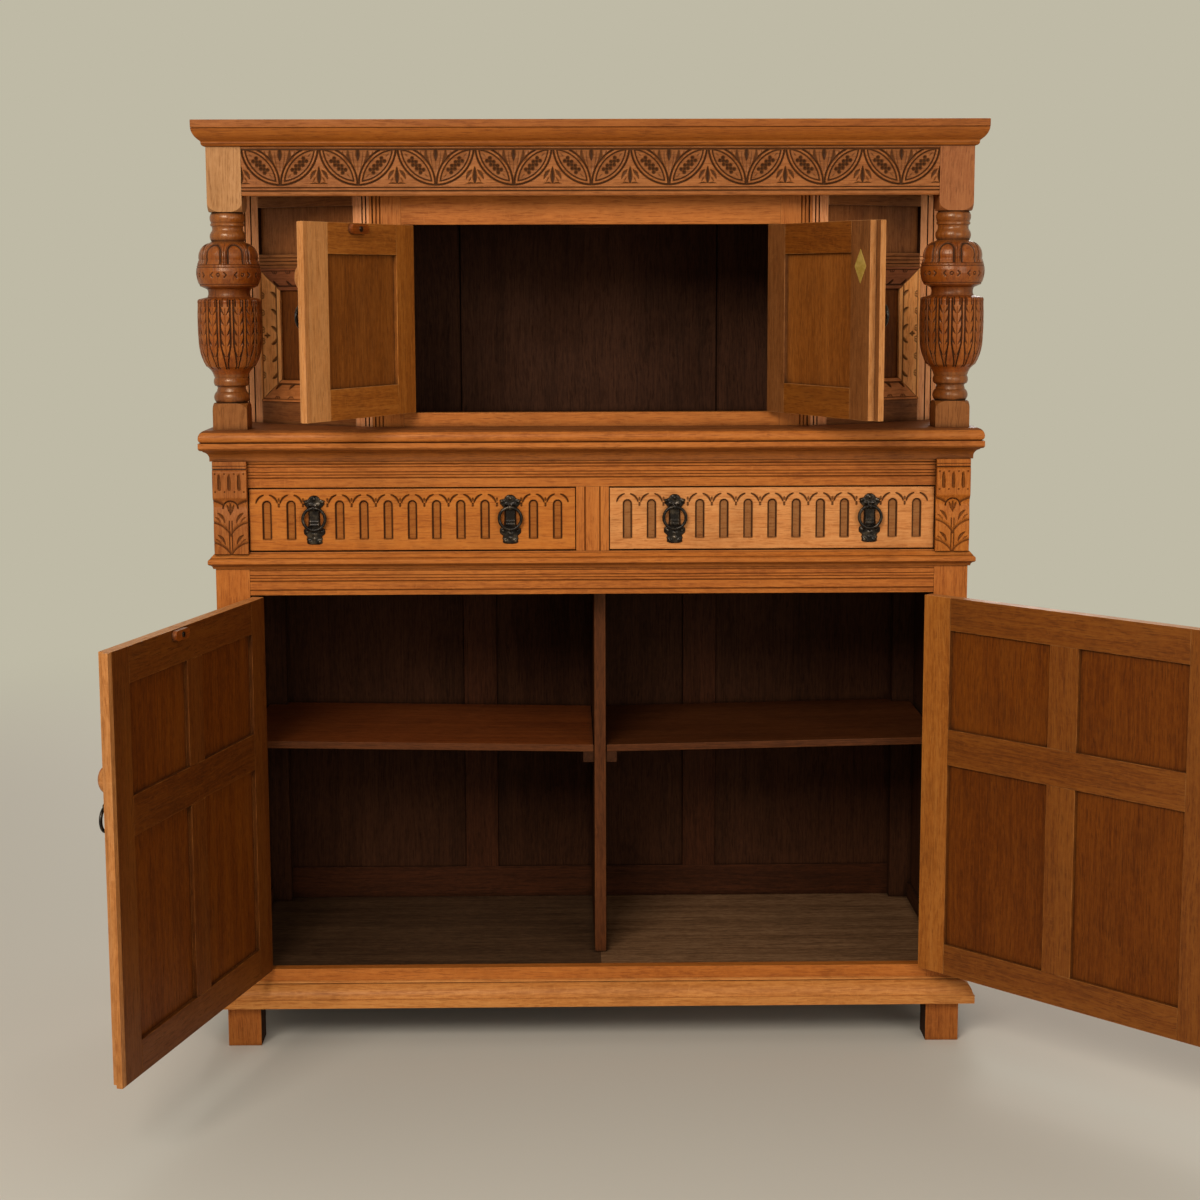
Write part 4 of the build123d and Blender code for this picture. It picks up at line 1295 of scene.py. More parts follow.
# ---------------------------------------------------------------- the cupboard
DULL = {"flecks": 0.1, "coat": 0.0, "sheen": 0.6, "gloss": 0.12}
BARE = {"flecks": 0.1, "coat": 0.0, "sheen": 0.7, "gloss": 0.14}
FINISHES: Tuple[Oak, ...] = (
    Oak("golden_oak", (190, 112, 46), (171, 94, 32), (128, 62, 16), (34, 14, 4), (204, 130, 58)),
    Oak("pale_oak", (204, 140, 84), (184, 118, 60), (146, 84, 36), (40, 18, 6), (214, 152, 96)),
    # painted light: a paler copy for the base moulding, where the light falls on it
    Oak("sunned_oak", (210, 142, 74), (192, 120, 56), (150, 84, 30), (42, 18, 6), (214, 148, 84)),
    # painted shade: a darker copy for the upward faces of the middle top
    Oak("top_oak", (142, 82, 38), (122, 67, 29), (90, 46, 17), (30, 13, 5), (160, 98, 50)),
    # painted shade: a darker copy for the coves under the waist and middle mouldings
    Oak("cove_oak", (146, 80, 26), (126, 66, 18), (92, 44, 10), (28, 12, 4), (160, 96, 40)),
    # painted shade: a darker copy for the cornice and the top board
    Oak("cornice_oak", (158, 88, 28), (141, 73, 18), (106, 50, 9), (28, 12, 3), (180, 108, 46)),
    Oak("head_oak", (186, 132, 82), (166, 113, 64), (128, 80, 40), (34, 14, 5), (200, 148, 98)),
    Oak("right_head_oak", (162, 98, 52), (143, 80, 38), (108, 56, 22), (32, 14, 6), (188, 122, 74)),
    Oak("block_oak", (158, 96, 44), (140, 80, 32), (106, 56, 18), (34, 14, 5), (178, 116, 60)),
    Oak("corbel_oak", (168, 98, 42), (146, 78, 28), (110, 54, 14), (34, 15, 6), (180, 112, 54), grime_and_shade=0.92),
    Oak("carved_oak", (168, 102, 50), (146, 82, 34), (110, 58, 20), (32, 17, 8), (184, 120, 62), grime_and_shade=0.92),
    Oak("drawer_oak", (192, 114, 42), (174, 95, 28), (134, 65, 13), (42, 18, 6), (206, 130, 58), grime_and_shade=0.95),
    Oak(
        "right_drawer_oak", (214, 144, 82), (196, 122, 62), (154, 86, 34), (44, 20, 8), (218, 150, 84),
        grime_and_shade=0.95,
    ),
    Oak(
        "red_oak", (158, 86, 28), (131, 62, 14), (92, 38, 6), (22, 8, 3), (178, 104, 40), grime_and_shade=0.95,
        coat=0.06, sheen=0.24, gloss=0.5,
    ),
    Oak(
        "cup_oak", (160, 82, 24), (132, 62, 12), (92, 39, 5), (18, 7, 2), (190, 114, 46), grime_and_shade=1.0, wear_and_light=0.5,
        coat=0.04, sheen=0.26, gloss=0.36,
    ),
    Oak(
        "ring_oak", (156, 90, 36), (130, 67, 20), (94, 44, 9), (30, 13, 4), (196, 124, 56), grime_and_shade=0.95,
        coat=0.06, sheen=0.2, gloss=0.6,
    ),
    Oak("stile_oak", (136, 84, 42), (114, 65, 28), (82, 43, 15), (26, 11, 4), (182, 124, 72), wear_and_light=0.9),
    Oak("stile_gold", (210, 146, 86), (190, 124, 66), (146, 88, 38), (34, 15, 5), (214, 152, 92), wear_and_light=0.9),
    Oak("door_gold", (178, 110, 44), (156, 88, 28), (118, 60, 14), (34, 15, 5), (204, 138, 70), wear_and_light=0.9),
    Oak("door_oak", (136, 78, 24), (116, 60, 13), (84, 38, 5), (20, 8, 2), (172, 112, 54), wear_and_light=0.95),
    # painted shade: a darker copy for the inside of the lower left door, which faces away from the light
    Oak(
        "dim_door_oak", (112, 60, 16), (93, 44, 8), (66, 28, 3), (16, 6, 1), (150, 92, 40), wear_and_light=0.9,
        gloss=0.16,
    ),
    Oak(
        "panel_oak", (120, 62, 12), (98, 45, 5), (68, 27, 2), (22, 9, 2), (130, 74, 20), flecks=0.2,
        gloss=0.16, coat=0.02,
    ),
    Oak("upper_panel_oak", (148, 86, 32), (122, 65, 18), (86, 41, 8), (22, 9, 2), (156, 96, 42), flecks=0.2),
    Oak("cant_oak", (148, 90, 44), (124, 68, 28), (88, 43, 14), (24, 11, 5), (176, 116, 66), wear_and_light=0.8),
    # painted light: a paler copy for the stiles of the canted corners, which the turned posts shade
    Oak(
        "cant_stile_oak", (244, 172, 116), (224, 144, 90), (174, 102, 56), (30, 13, 5), (232, 168, 116),
        wear_and_light=0.9,
    ),
    # painted light: a paler copy for the sides of the carved frames
    Oak(
        "cant_carving", (252, 180, 108), (240, 158, 84), (192, 112, 50), (26, 11, 4), (232, 168, 104),
        grime_and_shade=0.84,
    ),
    # painted light and shadow: the bottom member lit between, the top member in the frieze's shadow
    Oak("cant_low", (206, 126, 68), (186, 106, 46), (144, 74, 26), (24, 11, 4), (210, 134, 76), grime_and_shade=0.84),
    Oak("cant_top", (146, 82, 46), (126, 64, 28), (94, 44, 14), (24, 11, 4), (160, 96, 54), grime_and_shade=0.84),
    Oak("back_oak", (74, 42, 25), (55, 30, 18), (35, 18, 10), (12, 5, 2), (84, 50, 30), **DULL),
    Oak("dark_oak", (70, 38, 20), (53, 27, 13), (34, 16, 7), (12, 5, 2), (74, 40, 20), **DULL),
    Oak(
        "framing_oak", (76, 37, 17), (57, 26, 10), (36, 15, 5), (12, 5, 2), (86, 46, 22), flecks=0.1,
        coat=0.0, sheen=0.55, gloss=0.14,
    ),
    # darker front edges, and painted shade on the top of the right shelf
    Oak(
        "edge_oak", (98, 52, 24), (78, 38, 14), (54, 24, 7), (18, 8, 3), (112, 66, 32), flecks=0.1, coat=0.03,
        gloss=0.16,
    ),
    Oak("floor_oak", (98, 70, 46), (72, 48, 30), (44, 27, 16), (16, 9, 5), (110, 84, 60), **BARE),
    Oak("worn_floor_oak", (150, 112, 78), (112, 78, 50), (64, 41, 25), (18, 10, 5), (150, 116, 84), **BARE),
    Oak(
        "shelf_oak", (138, 70, 28), (110, 50, 16), (74, 31, 8), (24, 9, 3), (150, 84, 38), flecks=0.15,
        coat=0.08,
    ),
    Oak(
        "rough_oak", (128, 88, 52), (104, 68, 38), (74, 45, 23), (28, 17, 9), (134, 96, 60), flecks=0.1,
        coat=0.0, sheen=0.68, gloss=0.2,
    ),
)
METALS: Tuple[Metal, ...] = (
    Metal("black_iron", (30, 24, 19), (118, 102, 82), 0.7, 0.28),
    Metal("old_brass", (186, 150, 62), (214, 180, 96), 0.45, 0.42, 0.25),
)


@dataclass
class Frieze:
    """Front rail under the cornice, carved with lunettes of crossed arcs."""

    half: float = 604.0
    low: float = 1525.0
    carved_top: float = 1602.4
    high: float = 1635.0
    face_y: float = -253.0
    thick: float = 22.0
    lunettes: int = 9
    foot: float = 1543.5
    step: float = 0.9
    petals: ClassVar[Strokes] = (
        (5, 25, 15, 9, 7.2, 2.4, 0.85, 0.3, 1.5),
        (6, 13, 11, 4, 3.0, 1.4, 0.6, 0.3, 0),
        (2, 2.2, 16, 1.2, 2.6, 1.6, 0.95, 0.6, 1.2),
    )
    rays: ClassVar[Strokes] = (
        (17, -2, 7, -29, 8.5, 2.6, 0.85, 0.6, 3),
        (8.5, -3, 3.2, -34, 2.6, 1.4, 0.7, 0.6, 1.6),
        (26, -2, 14, -22, 3.4, 1.6, 0.6, 0.6, 2.5),
    )

    def lens(self, cut: Carving, top: Pair, bottom: Pair, radius: float) -> None:
        """Cuts one pointed oval between two arcs, with its double outline and its flower.

        Args:
            cut: Face that is carved.
            top: Centre of the arc that opens upwards.
            bottom: Centre of the other arc.
            radius: Radius of both.
        """
        middle = ((top[0] + bottom[0]) / 2, (top[1] + bottom[1]) / 2)
        where, x, y = cut.window((middle[0] - 45, self.low + 2), (middle[0] + 45, self.carved_top))
        first = np.hypot(x - top[0], y - top[1]) - radius
        second = np.hypot(x - bottom[0], y - bottom[1]) - radius
        edge = np.maximum(first, second)
        cut.groove(where, edge, 3.8, 2.8, 1.0)
        cut.groove(where, edge + 6.2, 3.2, 2.2, 1.0)
        field_in = np.clip((-edge - 6.4) / 2.0, 0, 1)
        cut.sink(where, 1.1 * field_in, 0.22 * field_in)
        run = (top[0] - bottom[0], top[1] - bottom[1])
        size = math.hypot(*run)
        across = (run[0] / size, run[1] / size)
        along = (-across[1], across[0])
        for row in range(-3, 4):
            for place in ((-3.6, 3.6) if row % 2 else (0.0,)):
                rise = row * 4.6
                px = middle[0] + rise * along[0] + place * across[0]
                py = middle[1] + rise * along[1] + place * across[1]
                cut.pit(px, py, 4.1, 4.0)
        for end in (-1, 1):
            tip = (middle[0] + end * 21 * along[0], middle[1] + end * 21 * along[1])
            far = (middle[0] + end * 29 * along[0], middle[1] + end * 29 * along[1])
            cut.gouge(tip, far, 3.2, 1.8, 0.7)

    def carve(self) -> Carving:
        """Carves the whole rail.

        Returns:
            The carved face.
        """
        up = np.concatenate([np.arange(self.low, self.carved_top + 6.0, self.step), [self.high]])
        length = 2 * self.half
        cut = Carving(np.arange(-self.half, self.half + 0.01, length / round(length / self.step)), up)
        pitch = length / self.lunettes
        radius = pitch / 2 - 1.2
        crown = self.foot + radius
        for number in range(self.lunettes + 1):
            seam = -self.half + number * pitch
            for side in (-1, 1):
                if abs(seam + side * pitch / 2) < self.half:
                    self.lens(cut, (seam + side * pitch / 2, crown), (seam, self.foot), radius)
            cut.gouge((seam, self.foot + 3), (seam, self.foot + 31), 9.5, 3.0, 1.0, 0.35)
            cut.pairs(seam, self.foot, self.petals)
            if number == self.lunettes:
                continue
            centre = seam + pitch / 2
            where, x, y = cut.window((seam, self.foot), (seam + pitch, self.carved_top))
            above = radius - np.hypot(x - centre, y - crown)
            beside = np.hypot(pitch / 2 - np.abs(x - centre), y - self.foot) - radius
            fan = np.clip((above - 2) / 4, 0, 1) * np.clip((beside - 2) / 4, 0, 1)
            cut.sink(where, 0.8 * fan, 0.3 * fan)
            cut.gouge((centre, self.carved_top - 1), (centre, self.carved_top - 19), 10.5, 3.2, 1.0, 0.8)
            cut.gouge((centre, self.carved_top - 18), (centre, self.foot + 20), 2.4, 1.2, 0.6, 0.8)
            cut.pairs(centre, self.carved_top, self.rays)
        where, _, y = cut.window((-self.half - 1, self.low), (self.half + 1, self.foot))
        for line, width, deep in ((self.foot - 4.6, 2.4, 1.5), (self.foot - 10.2, 2.8, 1.7)):
            cut.groove(where, y - line, width, deep, 1.0)
        where, _, y = cut.window((-self.half - 1, self.carved_top - 4), (self.half + 1, self.carved_top + 6))
        cut.groove(where, y - self.carved_top - 1.4, 3.4, 2.0, 1.0)
        cut.deep += np.clip(2.0 - (cut.up - self.low), 0, 2.0)[:, None] * 0.5
        return cut

    def add(self, pile: Pile) -> None:
        """Adds the carved rail to a pile.

        Args:
            pile: Pile that takes it.
        """
        plate = CarvedPlate(self.carve(), facing_front(self.face_y), self.thick)
        plate.lay(pile, "carved_oak", 0.5, np.array([3.0, 5.0, 9.0]))


@dataclass
class DrawerFront:
    """Front of one drawer, with a row of round-headed flutes under paired arcs."""

    left: float
    right: float
    finish: str
    shade: float
    tone: float
    low: float = 908.0
    high: float = 1018.0
    face_y: float = -256.0
    thick: float = 20.0
    first: float = 31.6
    flutes: int = 13
    handles: Tuple[int, int] = (2, 10)
    step: float = 0.9

    def flute(self, cut: Carving, centre: float) -> None:
        """Cuts one flute and the two arcs over it.

        Args:
            cut: Face that is carved.
            centre: Middle of the flute.
        """
        half, base, head = 8.0, self.low + 18.5, self.low + 81.0
        where, x, y = cut.window((centre - 22, base - 3), (centre + 22, head + 12))
        dx = np.abs(x - centre)
        edge = np.where(y > head, np.hypot(x - centre, y - head), dx) - half
        edge = np.maximum(edge, base - y)
        inside = np.clip(-edge / 1.5, 0, 1)
        hollow = 3.8 + 1.2 * np.clip(1 - (dx / half) ** 2, 0, 1)
        # painted shade: the flute's floor is darkened, more towards its sides and most along them
        hollow_shade = 0.35 * np.clip(1.2 + edge / 7, 0, 1)
        wall_shadow = np.clip(1.8 - np.abs(edge + 1.3) / 1.3, hollow_shade, 1.0) * (edge < 1)
        slope = np.clip((y - base) / 3.2, 0, 1)
        cut.sink(where, hollow * inside * slope, np.maximum(self.shade * inside, wall_shadow) * slope)
        for turn in ((104, 168), (12, 76)):
            cut.arc((centre, head - 1.0), 19.4, turn, 4.2, 2.6)

    def carve(self) -> Carving:
        """Carves the front.

        Returns:
            The carved face.
        """
        span = self.right - self.left
        across = np.linspace(self.left, self.right, round(span / self.step) + 1)
        up = np.linspace(self.low, self.high, round((self.high - self.low) / self.step) + 1)
        cut = Carving(across, up)
        pitch = (span - 2 * self.first) / (self.flutes - 1)
        for number in range(self.flutes):
            centre = self.left + self.first + number * pitch
            if number not in self.handles:
                self.flute(cut, centre)
            if number < self.flutes - 1:
                between = centre + pitch / 2
                for level in (78.9, 82.1):
                    cut.pit(between, self.low + level, 2.3, 2.2)
                cut.gouge((between, self.low + 92.5), (between, self.low + 86.0), 5.0, 2.0, 0.8)
        cut.ease_rim(2.2)
        return cut

    def add(self, pile: Pile) -> None:
        """Adds the carved front to a pile.

        Args:
            pile: Pile that takes it.
        """
        start = np.array([7.0, 2.0, 4.0]) + self.left * 0.011
        plate = CarvedPlate(self.carve(), facing_front(self.face_y), self.thick)
        plate.lay(pile, self.finish, self.tone, start)


@dataclass
class Corbel:
    """Bracket on a post beside the drawers: a fluted block over a leaf."""

    middle: float
    low: float = 903.0
    high: float = 1067.0
    width: float = 60.0
    face_y: float = -256.0
    step: float = 0.7
    leaf_top: float = 84.0
    cove_top: float = 99.0
    leaf_out: float = 38.4
    leaf_radius: float = 42.6
    tiers: Tuple[float, ...] = (52.2, 13.7, -21.8)
    veins: ClassVar[Strokes] = (
        (22, 21, 10, 3, 5.6, 2.8, 0.75, 0.35, -2.4),
        (27, 14, 17, 3, 3.6, 1.8, 0.5, 0.3, -1.6),
    )

    def profile(self, up: Array) -> Array:
        """Gives how far the bracket stands out at each height.

        Args:
            up: Heights.

        Returns:
            Projections.
        """
        h = up - self.low
        share = np.clip(h / self.leaf_top, 0, 1)
        leaf = 8.0 + 3.0 * np.sin(np.pi * share) - 2.0 * share
        cove = 6.0 + 7.0 * np.clip((h - self.leaf_top) / (self.cove_top - self.leaf_top), 0, 1) ** 2.2
        block = 13.0 + np.clip((h - self.cove_top) / 2.0, 0, 1)
        top = np.clip((h - (self.high - self.low - 18.0)) / 3.0, 0, 1) * 2.0
        return np.where(h < self.leaf_top, leaf, np.where(h < self.cove_top, cove, block - top))

    def carve(self) -> Carving:
        """Carves the bracket.

        Returns:
            The carved face.
        """
        half = self.width / 2
        across = np.linspace(-half, half, round(self.width / self.step) + 1)
        up = np.linspace(self.low, self.high, round((self.high - self.low) / self.step) + 1)
        cut = Carving(across, up)
        z = self.low
        for x in (-17.5, -0.2, 17.0):
            cut.gouge((x, z + 115.5), (x, z + 143), 6.6, 3.2, 0.65, 0.9)
            cut.gouge((x - 2.2, z + 116), (x - 2.2, z + 142), 2.2, 3.0, 1.0, 0.8)
        where, _, y = cut.window((-half, z + 144), (half, self.high))
        cut.groove(where, y - z - 150.5, 3.0, 2.0, 1.0)
        cut.groove(where, y - z - 156.0, 2.0, 1.2, 0.6)
        for x in (-25.0, -8.6, 8.6, 25.0):
            for level in (111.0, 142.5):
                cut.pit(x, z + level, 1.7, 1.5, 0.9)
        where, x, y = cut.window((-half, z), (half, z + 98))
        wing, h = np.abs(x), y - z
        fan = np.hypot(x, h - 81.5) - 13.0
        for level in self.tiers:
            # painted shade: above each lobe's outline the leaf is darkened, fading upwards
            beyond = np.hypot(wing - self.leaf_out, h - level) - self.leaf_radius
            shade = np.clip(1 - beyond / 5.5, 0, 1) * np.clip((beyond + 0.6) / 1.2, 0, 1)
            shade *= (h > level) & ((fan > 0) | (h < 78))
            cut.sink(where, 2.8 * shade, shade**1.4)
            cut.pairs(0.0, z + level, self.veins)
        cut.groove(where, np.where(h > 81, fan, 99), 2.8, 2.4, 1.0)
        for turn in (-42, 0, 42):
            a = math.radians(90 - turn)
            tip = (9.0 * math.cos(a), z + 80 + 9.5 * math.sin(a))
            cut.gouge(tip, (1.2 * math.cos(a), z + 73), 4.2, 2.0, 0.7)
        cut.groove(where, np.where(h < 60, wing - 2.4, 99), 2.0, 1.8, 0.85)
        cut.ease_rim(1.2)
        return cut

    def add(self, pile: Pile) -> None:
        """Adds the carved bracket to a pile.

        Args:
            pile: Pile that takes it.
        """
        cut = self.carve()
        swell = np.repeat(self.profile(cut.up)[:, None], len(cut.across), axis=1)

        def place(x: Array, y: Array, out: Array) -> Array:
            """Gives the places of the face from its middle."""
            return np.stack([x + self.middle, self.face_y - out, y], -1)

        cut.deep = np.minimum(cut.deep, swell - 0.3)
        start = np.array([11.0, 3.0, self.middle * 0.01])
        finish = "drawer_oak" if self.middle > 0 else "corbel_oak"
        CarvedPlate(cut, place, 0.0).lay(pile, finish, 0.45, start, True, swell)


@dataclass
class CantedFrame:
    """Mitred and carved frame round the sunk panel of one canted corner."""

    side: int
    corner: Pair = (CANT_START, -UPPER_FRONT)
    rear: Pair = (640.0, -39.0)
    bay: Pair = (36.0, 251.2)
    # lit and shaded copies of the carving for bottom, sides and top: painted light on the sides, painted
    # shadow on the top member under the frieze
    finishes: Tuple[str, ...] = ("cant_low", "cant_carving", "cant_top", "cant_carving")
    low: float = 1162.0
    high: float = 1402.0
    member: float = 39.0
    proud: float = 3.0
    inner: float = -9.0
    back: float = -14.0
    step: float = 0.8
    pitch: float = 31.0
    margin: float = 26.0

    def member_face(self, length: float) -> Tuple[Array, Array, Array]:
        """Carves one member, from mitre to mitre.

        Args:
            length: Its length at the outer edge.

        Returns:
            Places along it and across it, and the depth and the staining and painted shade of the cuts.
        """
        along = np.linspace(0.0, length, round(length / self.step) + 1)
        across = np.linspace(0.0, self.member, round(self.member / self.step) + 1)
        cut = Carving(along, across)
        middle = length / 2
        where, x, y = cut.window((-1, -1), (length + 1, self.member + 1))
        cut.groove(where, y - 4.6, 2.0, 1.5, 0.9)
        cut.groove(where, y - 31.5, 3.4, 2.2, 1.0)
        crown = np.clip((y - 5) / 26, 0, 1)
        cut.sink(where, 0.9 * (1 - np.sin(np.pi * crown)) * (y > 5) * (y < 31), np.zeros_like(x))
        for sign in (-1, 1):
            for number in range(1 + int(middle / self.pitch)):
                a = middle + sign * (15.0 + self.pitch * number)
                if not self.margin <= a <= length - self.margin:
                    continue
                cut.arc((a - sign * 12.0, 17.5), 14.0, (20, 80) if sign > 0 else (100, 160), 6.4, 3.8)
                claw = a - sign * 5
                for lean in (-5.5, 0.0, 5.5):
                    cut.gouge((claw + lean, 5.5), (claw + lean * 0.3, 10.5), 3.4, 2.0, 0.8, 0.8)
        if length > 230:
            for dx, dy in ((1, 0), (-1, 0), (0, 1), (0, -1)):
                cut.gouge((middle + dx, 14 + dy), (middle + dx * 5.4, 14 + dy * 5.4), 4.8, 2.6, 1.0)
        return along, across, np.stack([cut.deep, cut.stain])

    def add(self, pile: Pile) -> None:
        """Adds the four members to a pile.

        Args:
            pile: Pile that takes them.
        """
        run = np.array([self.rear[0] - self.corner[0], self.rear[1] - self.corner[1]])
        run /= np.linalg.norm(run)
        out = np.array([run[1], -run[0]])
        wide, tall = self.bay[1] - self.bay[0], self.high - self.low
        starts = ((0, 0), (wide, 0), (wide, tall), (0, tall))
        ways = ((1, 0), (0, 1), (-1, 0), (0, -1))
        for number, (origin, along_way) in enumerate(zip(starts, ways)):
            length = tall if number % 2 else wide
            inward = (-along_way[1], along_way[0])
            along, across, cut = self.member_face(length)
            share = along / length
            rows, columns = len(across), len(along)
            b = np.repeat(across[:, None], columns, 1)
            a = b + share[None, :] * (length - 2 * b)
            slope = self.proud + (self.inner - self.proud) * b / self.member
            source = np.clip(np.searchsorted(along, a.ravel()), 0, columns - 1).reshape(rows, columns)
            line = np.arange(rows)[:, None]
            deep, stain = cut[0][line, source], cut[1][line, source]
            mitre = np.minimum(a - b, length - b - a)
            deep = np.maximum(deep, 1.2 * np.clip(1 - mitre / 1.2, 0, 1))
            stain = np.maximum(stain, 0.8 * np.clip(1 - mitre / 1.4, 0, 1))
            height = slope - deep
            height[0] = np.minimum(height[0], self.proud - 0.8)
            height[-1] = np.minimum(height[-1], self.inner - 0.8)
            skirt = np.full((1, columns), self.back)
            u = np.concatenate([a[:1], a, a[-1:]])
            v = np.concatenate([b[:1], b, b[-1:]])
            h = np.concatenate([skirt, height, skirt])
            # painted shadow: the inner skirt, dropping to the sunk panel, is darkened
            stain = np.clip(np.concatenate([stain[:1], stain, stain[-1:] + 0.5]), 0, 1)
            px = origin[0] + u * along_way[0] + v * inward[0]
            pz = origin[1] + u * along_way[1] + v * inward[1]
            plan = np.array(self.corner)[None, :] + (self.bay[0] + px.ravel())[:, None] * run[None, :]
            plan += h.ravel()[:, None] * out[None, :]
            points = np.stack([self.side * plan[:, 0], plan[:, 1], self.low + pz.ravel()], -1)
            index = np.arange((rows + 2) * columns).reshape(rows + 2, columns)
            under = [index[0, 0], index[-1, 0], index[-1, -1], index[0, -1]]
            faces = [*grid_quads(index).tolist(), index[::-1, 0].tolist(), index[:, -1].tolist(), under]
            if self.side < 0:
                faces = [face[::-1] for face in faces]
            start = np.array([2.0 + number * 3, 5.0 + self.side, 8.0])
            grain = np.stack([u.ravel(), v.ravel(), h.ravel()], -1) * MM + start
            tone = 0.4 + 0.1 * (number % 2)
            pile.lay(points * MM, faces, [self.finishes[number]], grain, tone, stain.ravel())


@dataclass
class CuppedPost:
    """Turned part of one front post: carved cup under a domed cover."""

    middle: Pair
    low: float = 1168.0
    height: float = 330.0
    turns: int = 300
    step: float = 0.9
    arches: int = 8
    leaves: int = 15
    tiers: int = 6
    girth_radius: float = 54.0

    def outline(self, corners: Array) -> Tuple[Array, Array]:
        """Reads the turning's outline from the corners of its solid.

        Args:
            corners: Corners of the solid, in millimetres.

        Returns:
            Heights and the radius at each.
        """
        radius = np.hypot(corners[:, 0] - self.middle[0], corners[:, 1] - self.middle[1])
        inside = (corners[:, 2] > self.low + 0.2) & (corners[:, 2] < self.low + self.height - 0.2)
        heights = np.unique(np.round(corners[inside, 2], 2))
        sizes = np.array([radius[inside][np.abs(corners[inside, 2] - h) < 0.02].max() for h in heights])
        heights = np.concatenate([[self.low], heights, [self.low + self.height]])
        return heights, np.concatenate([[26.0], sizes, [26.0]])

    def carve(self, cut: Carving) -> None:
        """Carves cup and cover. Across is the angle in degrees.

        Args:
            cut: Unrolled face.
        """
        z = self.low
        angle, up = np.meshgrid(cut.across, cut.up)
        every = (slice(None), slice(None))
        girth = 2 * math.pi * self.girth_radius / 360
        # cover: round-headed arches, two lines and a punched band
        period = 360 / self.arches
        arch = (angle % period - period / 2) * girth * 0.93
        top = z + 262.0
        distance = np.where(up > top, np.hypot(arch, (up - top) * 1.15), np.abs(arch)) - 13.0
        zone = (up > z + 241) & (up < z + 277)
        cut.groove(every, np.where(zone, distance, 99), 4.4, 3.0, 1.0)
        cut.groove(every, np.where(zone, distance - 3.4, 99), 1.6, 1.1, 0.7)
        seam = np.abs(np.abs(arch) - period * girth * 0.46)
        cut.groove(every, np.where(zone & (distance > 4.5), seam, 99), 1.4, 1.4, 0.7)
        under_arch = zone & (distance < 0)
        swell = np.clip((up - z - 240) / 30, 0, 1)
        cut.sink(every, 0.8 * (1 - swell) * under_arch, np.zeros_like(up))
        for line, width in ((z + 239.5, 1.8), (z + 235.5, 1.6), (z + 205.5, 1.8)):
            cut.groove(every, up - line, width, 1.0, 0.7)
        for number in range(self.arches):
            base = number * period
            for tip, way in ((base + 0.10 * period, 1), (base + 0.42 * period, -1)):
                for lift in (-1, 1):
                    self.chip(cut, tip, z + 222, -way * 4.2, lift * 4.2, girth)
            for turn in range(10):
                a = math.radians(turn * 36)
                place = base + 0.75 * period + 2.7 * math.cos(a) / girth
                self.chip(cut, place, z + 222 + 2.7 * math.sin(a), 0.6, 0.6, girth, 1.7)
        # cup: leaves between plain ribs
        size = 360 / self.leaves
        leaf = (angle % size - size / 2) * girth
        cup = (up > z + 60) & (up < z + 180)
        narrow = np.clip((up - z - 52) / 50, 0.35, 1.0)
        half = size * girth / 2 * narrow
        rib = np.abs(np.abs(leaf) - (half - 2.8 * narrow))
        cut.groove(every, np.where(cup, rib, 99), 3.0, 2.6, 1.0)
        for tier in range(self.tiers):
            level = z + 62 + tier * 18.5
            for side in (-1, 1):
                run = leaf * side - 2.2 * narrow
                line = (up - level - run * 1.9) * 0.55
                inside = cup & (run > 0) & (run < half - 4.6 * narrow)
                share = np.clip(run / np.maximum(half - 4.6 * narrow, 1), 0, 1)
                width = 4.2 * share**1.3 + 0.2
                near = np.where(inside, np.clip(1 - (line / width) ** 2, 0, 1), 0)
                cut.sink(every, 2.0 * near * (1 if tier % 2 else 0.75), 0.85 * near**0.7)
        cut.groove(every, np.where(cup & (up < z + 165), leaf, 99), 1.2, 0.7, 0.3)
        rim = (up > z + 168) & (up < z + 182)
        notch = np.abs(np.abs(leaf) - half * 0.42)
        cut.groove(every, np.where(rim, notch, 99), 3.0, 1.8, 0.9)

    def chip(
        self, cut: Carving, angle: float, up: float, run: float, rise: float, girth: float, width: float = 2.4
    ) -> None:
        """Cuts one small chip of a punched mark.

        Args:
            cut: Unrolled face.
            angle: Angle of its point, in degrees.
            up: Height of its point.
            run: How far it runs round the post.
            rise: How far it rises.
            girth: Length of a degree.
            width: Width of the chip.
        """
        window, x, y = cut.window((angle - 9, up - 8), (angle + 9, up + 8))
        x = (x - angle) * girth
        y = y - up
        size = math.hypot(run, rise)
        t = np.clip((x * run + y * rise) / size**2, 0, 1)
        distance = np.hypot(x - t * run, y - t * rise)
        near = np.clip(1 - (distance / (width / 2)) ** 2, 0, 1)
        cut.sink(window, 1.6 * near, near**0.6)

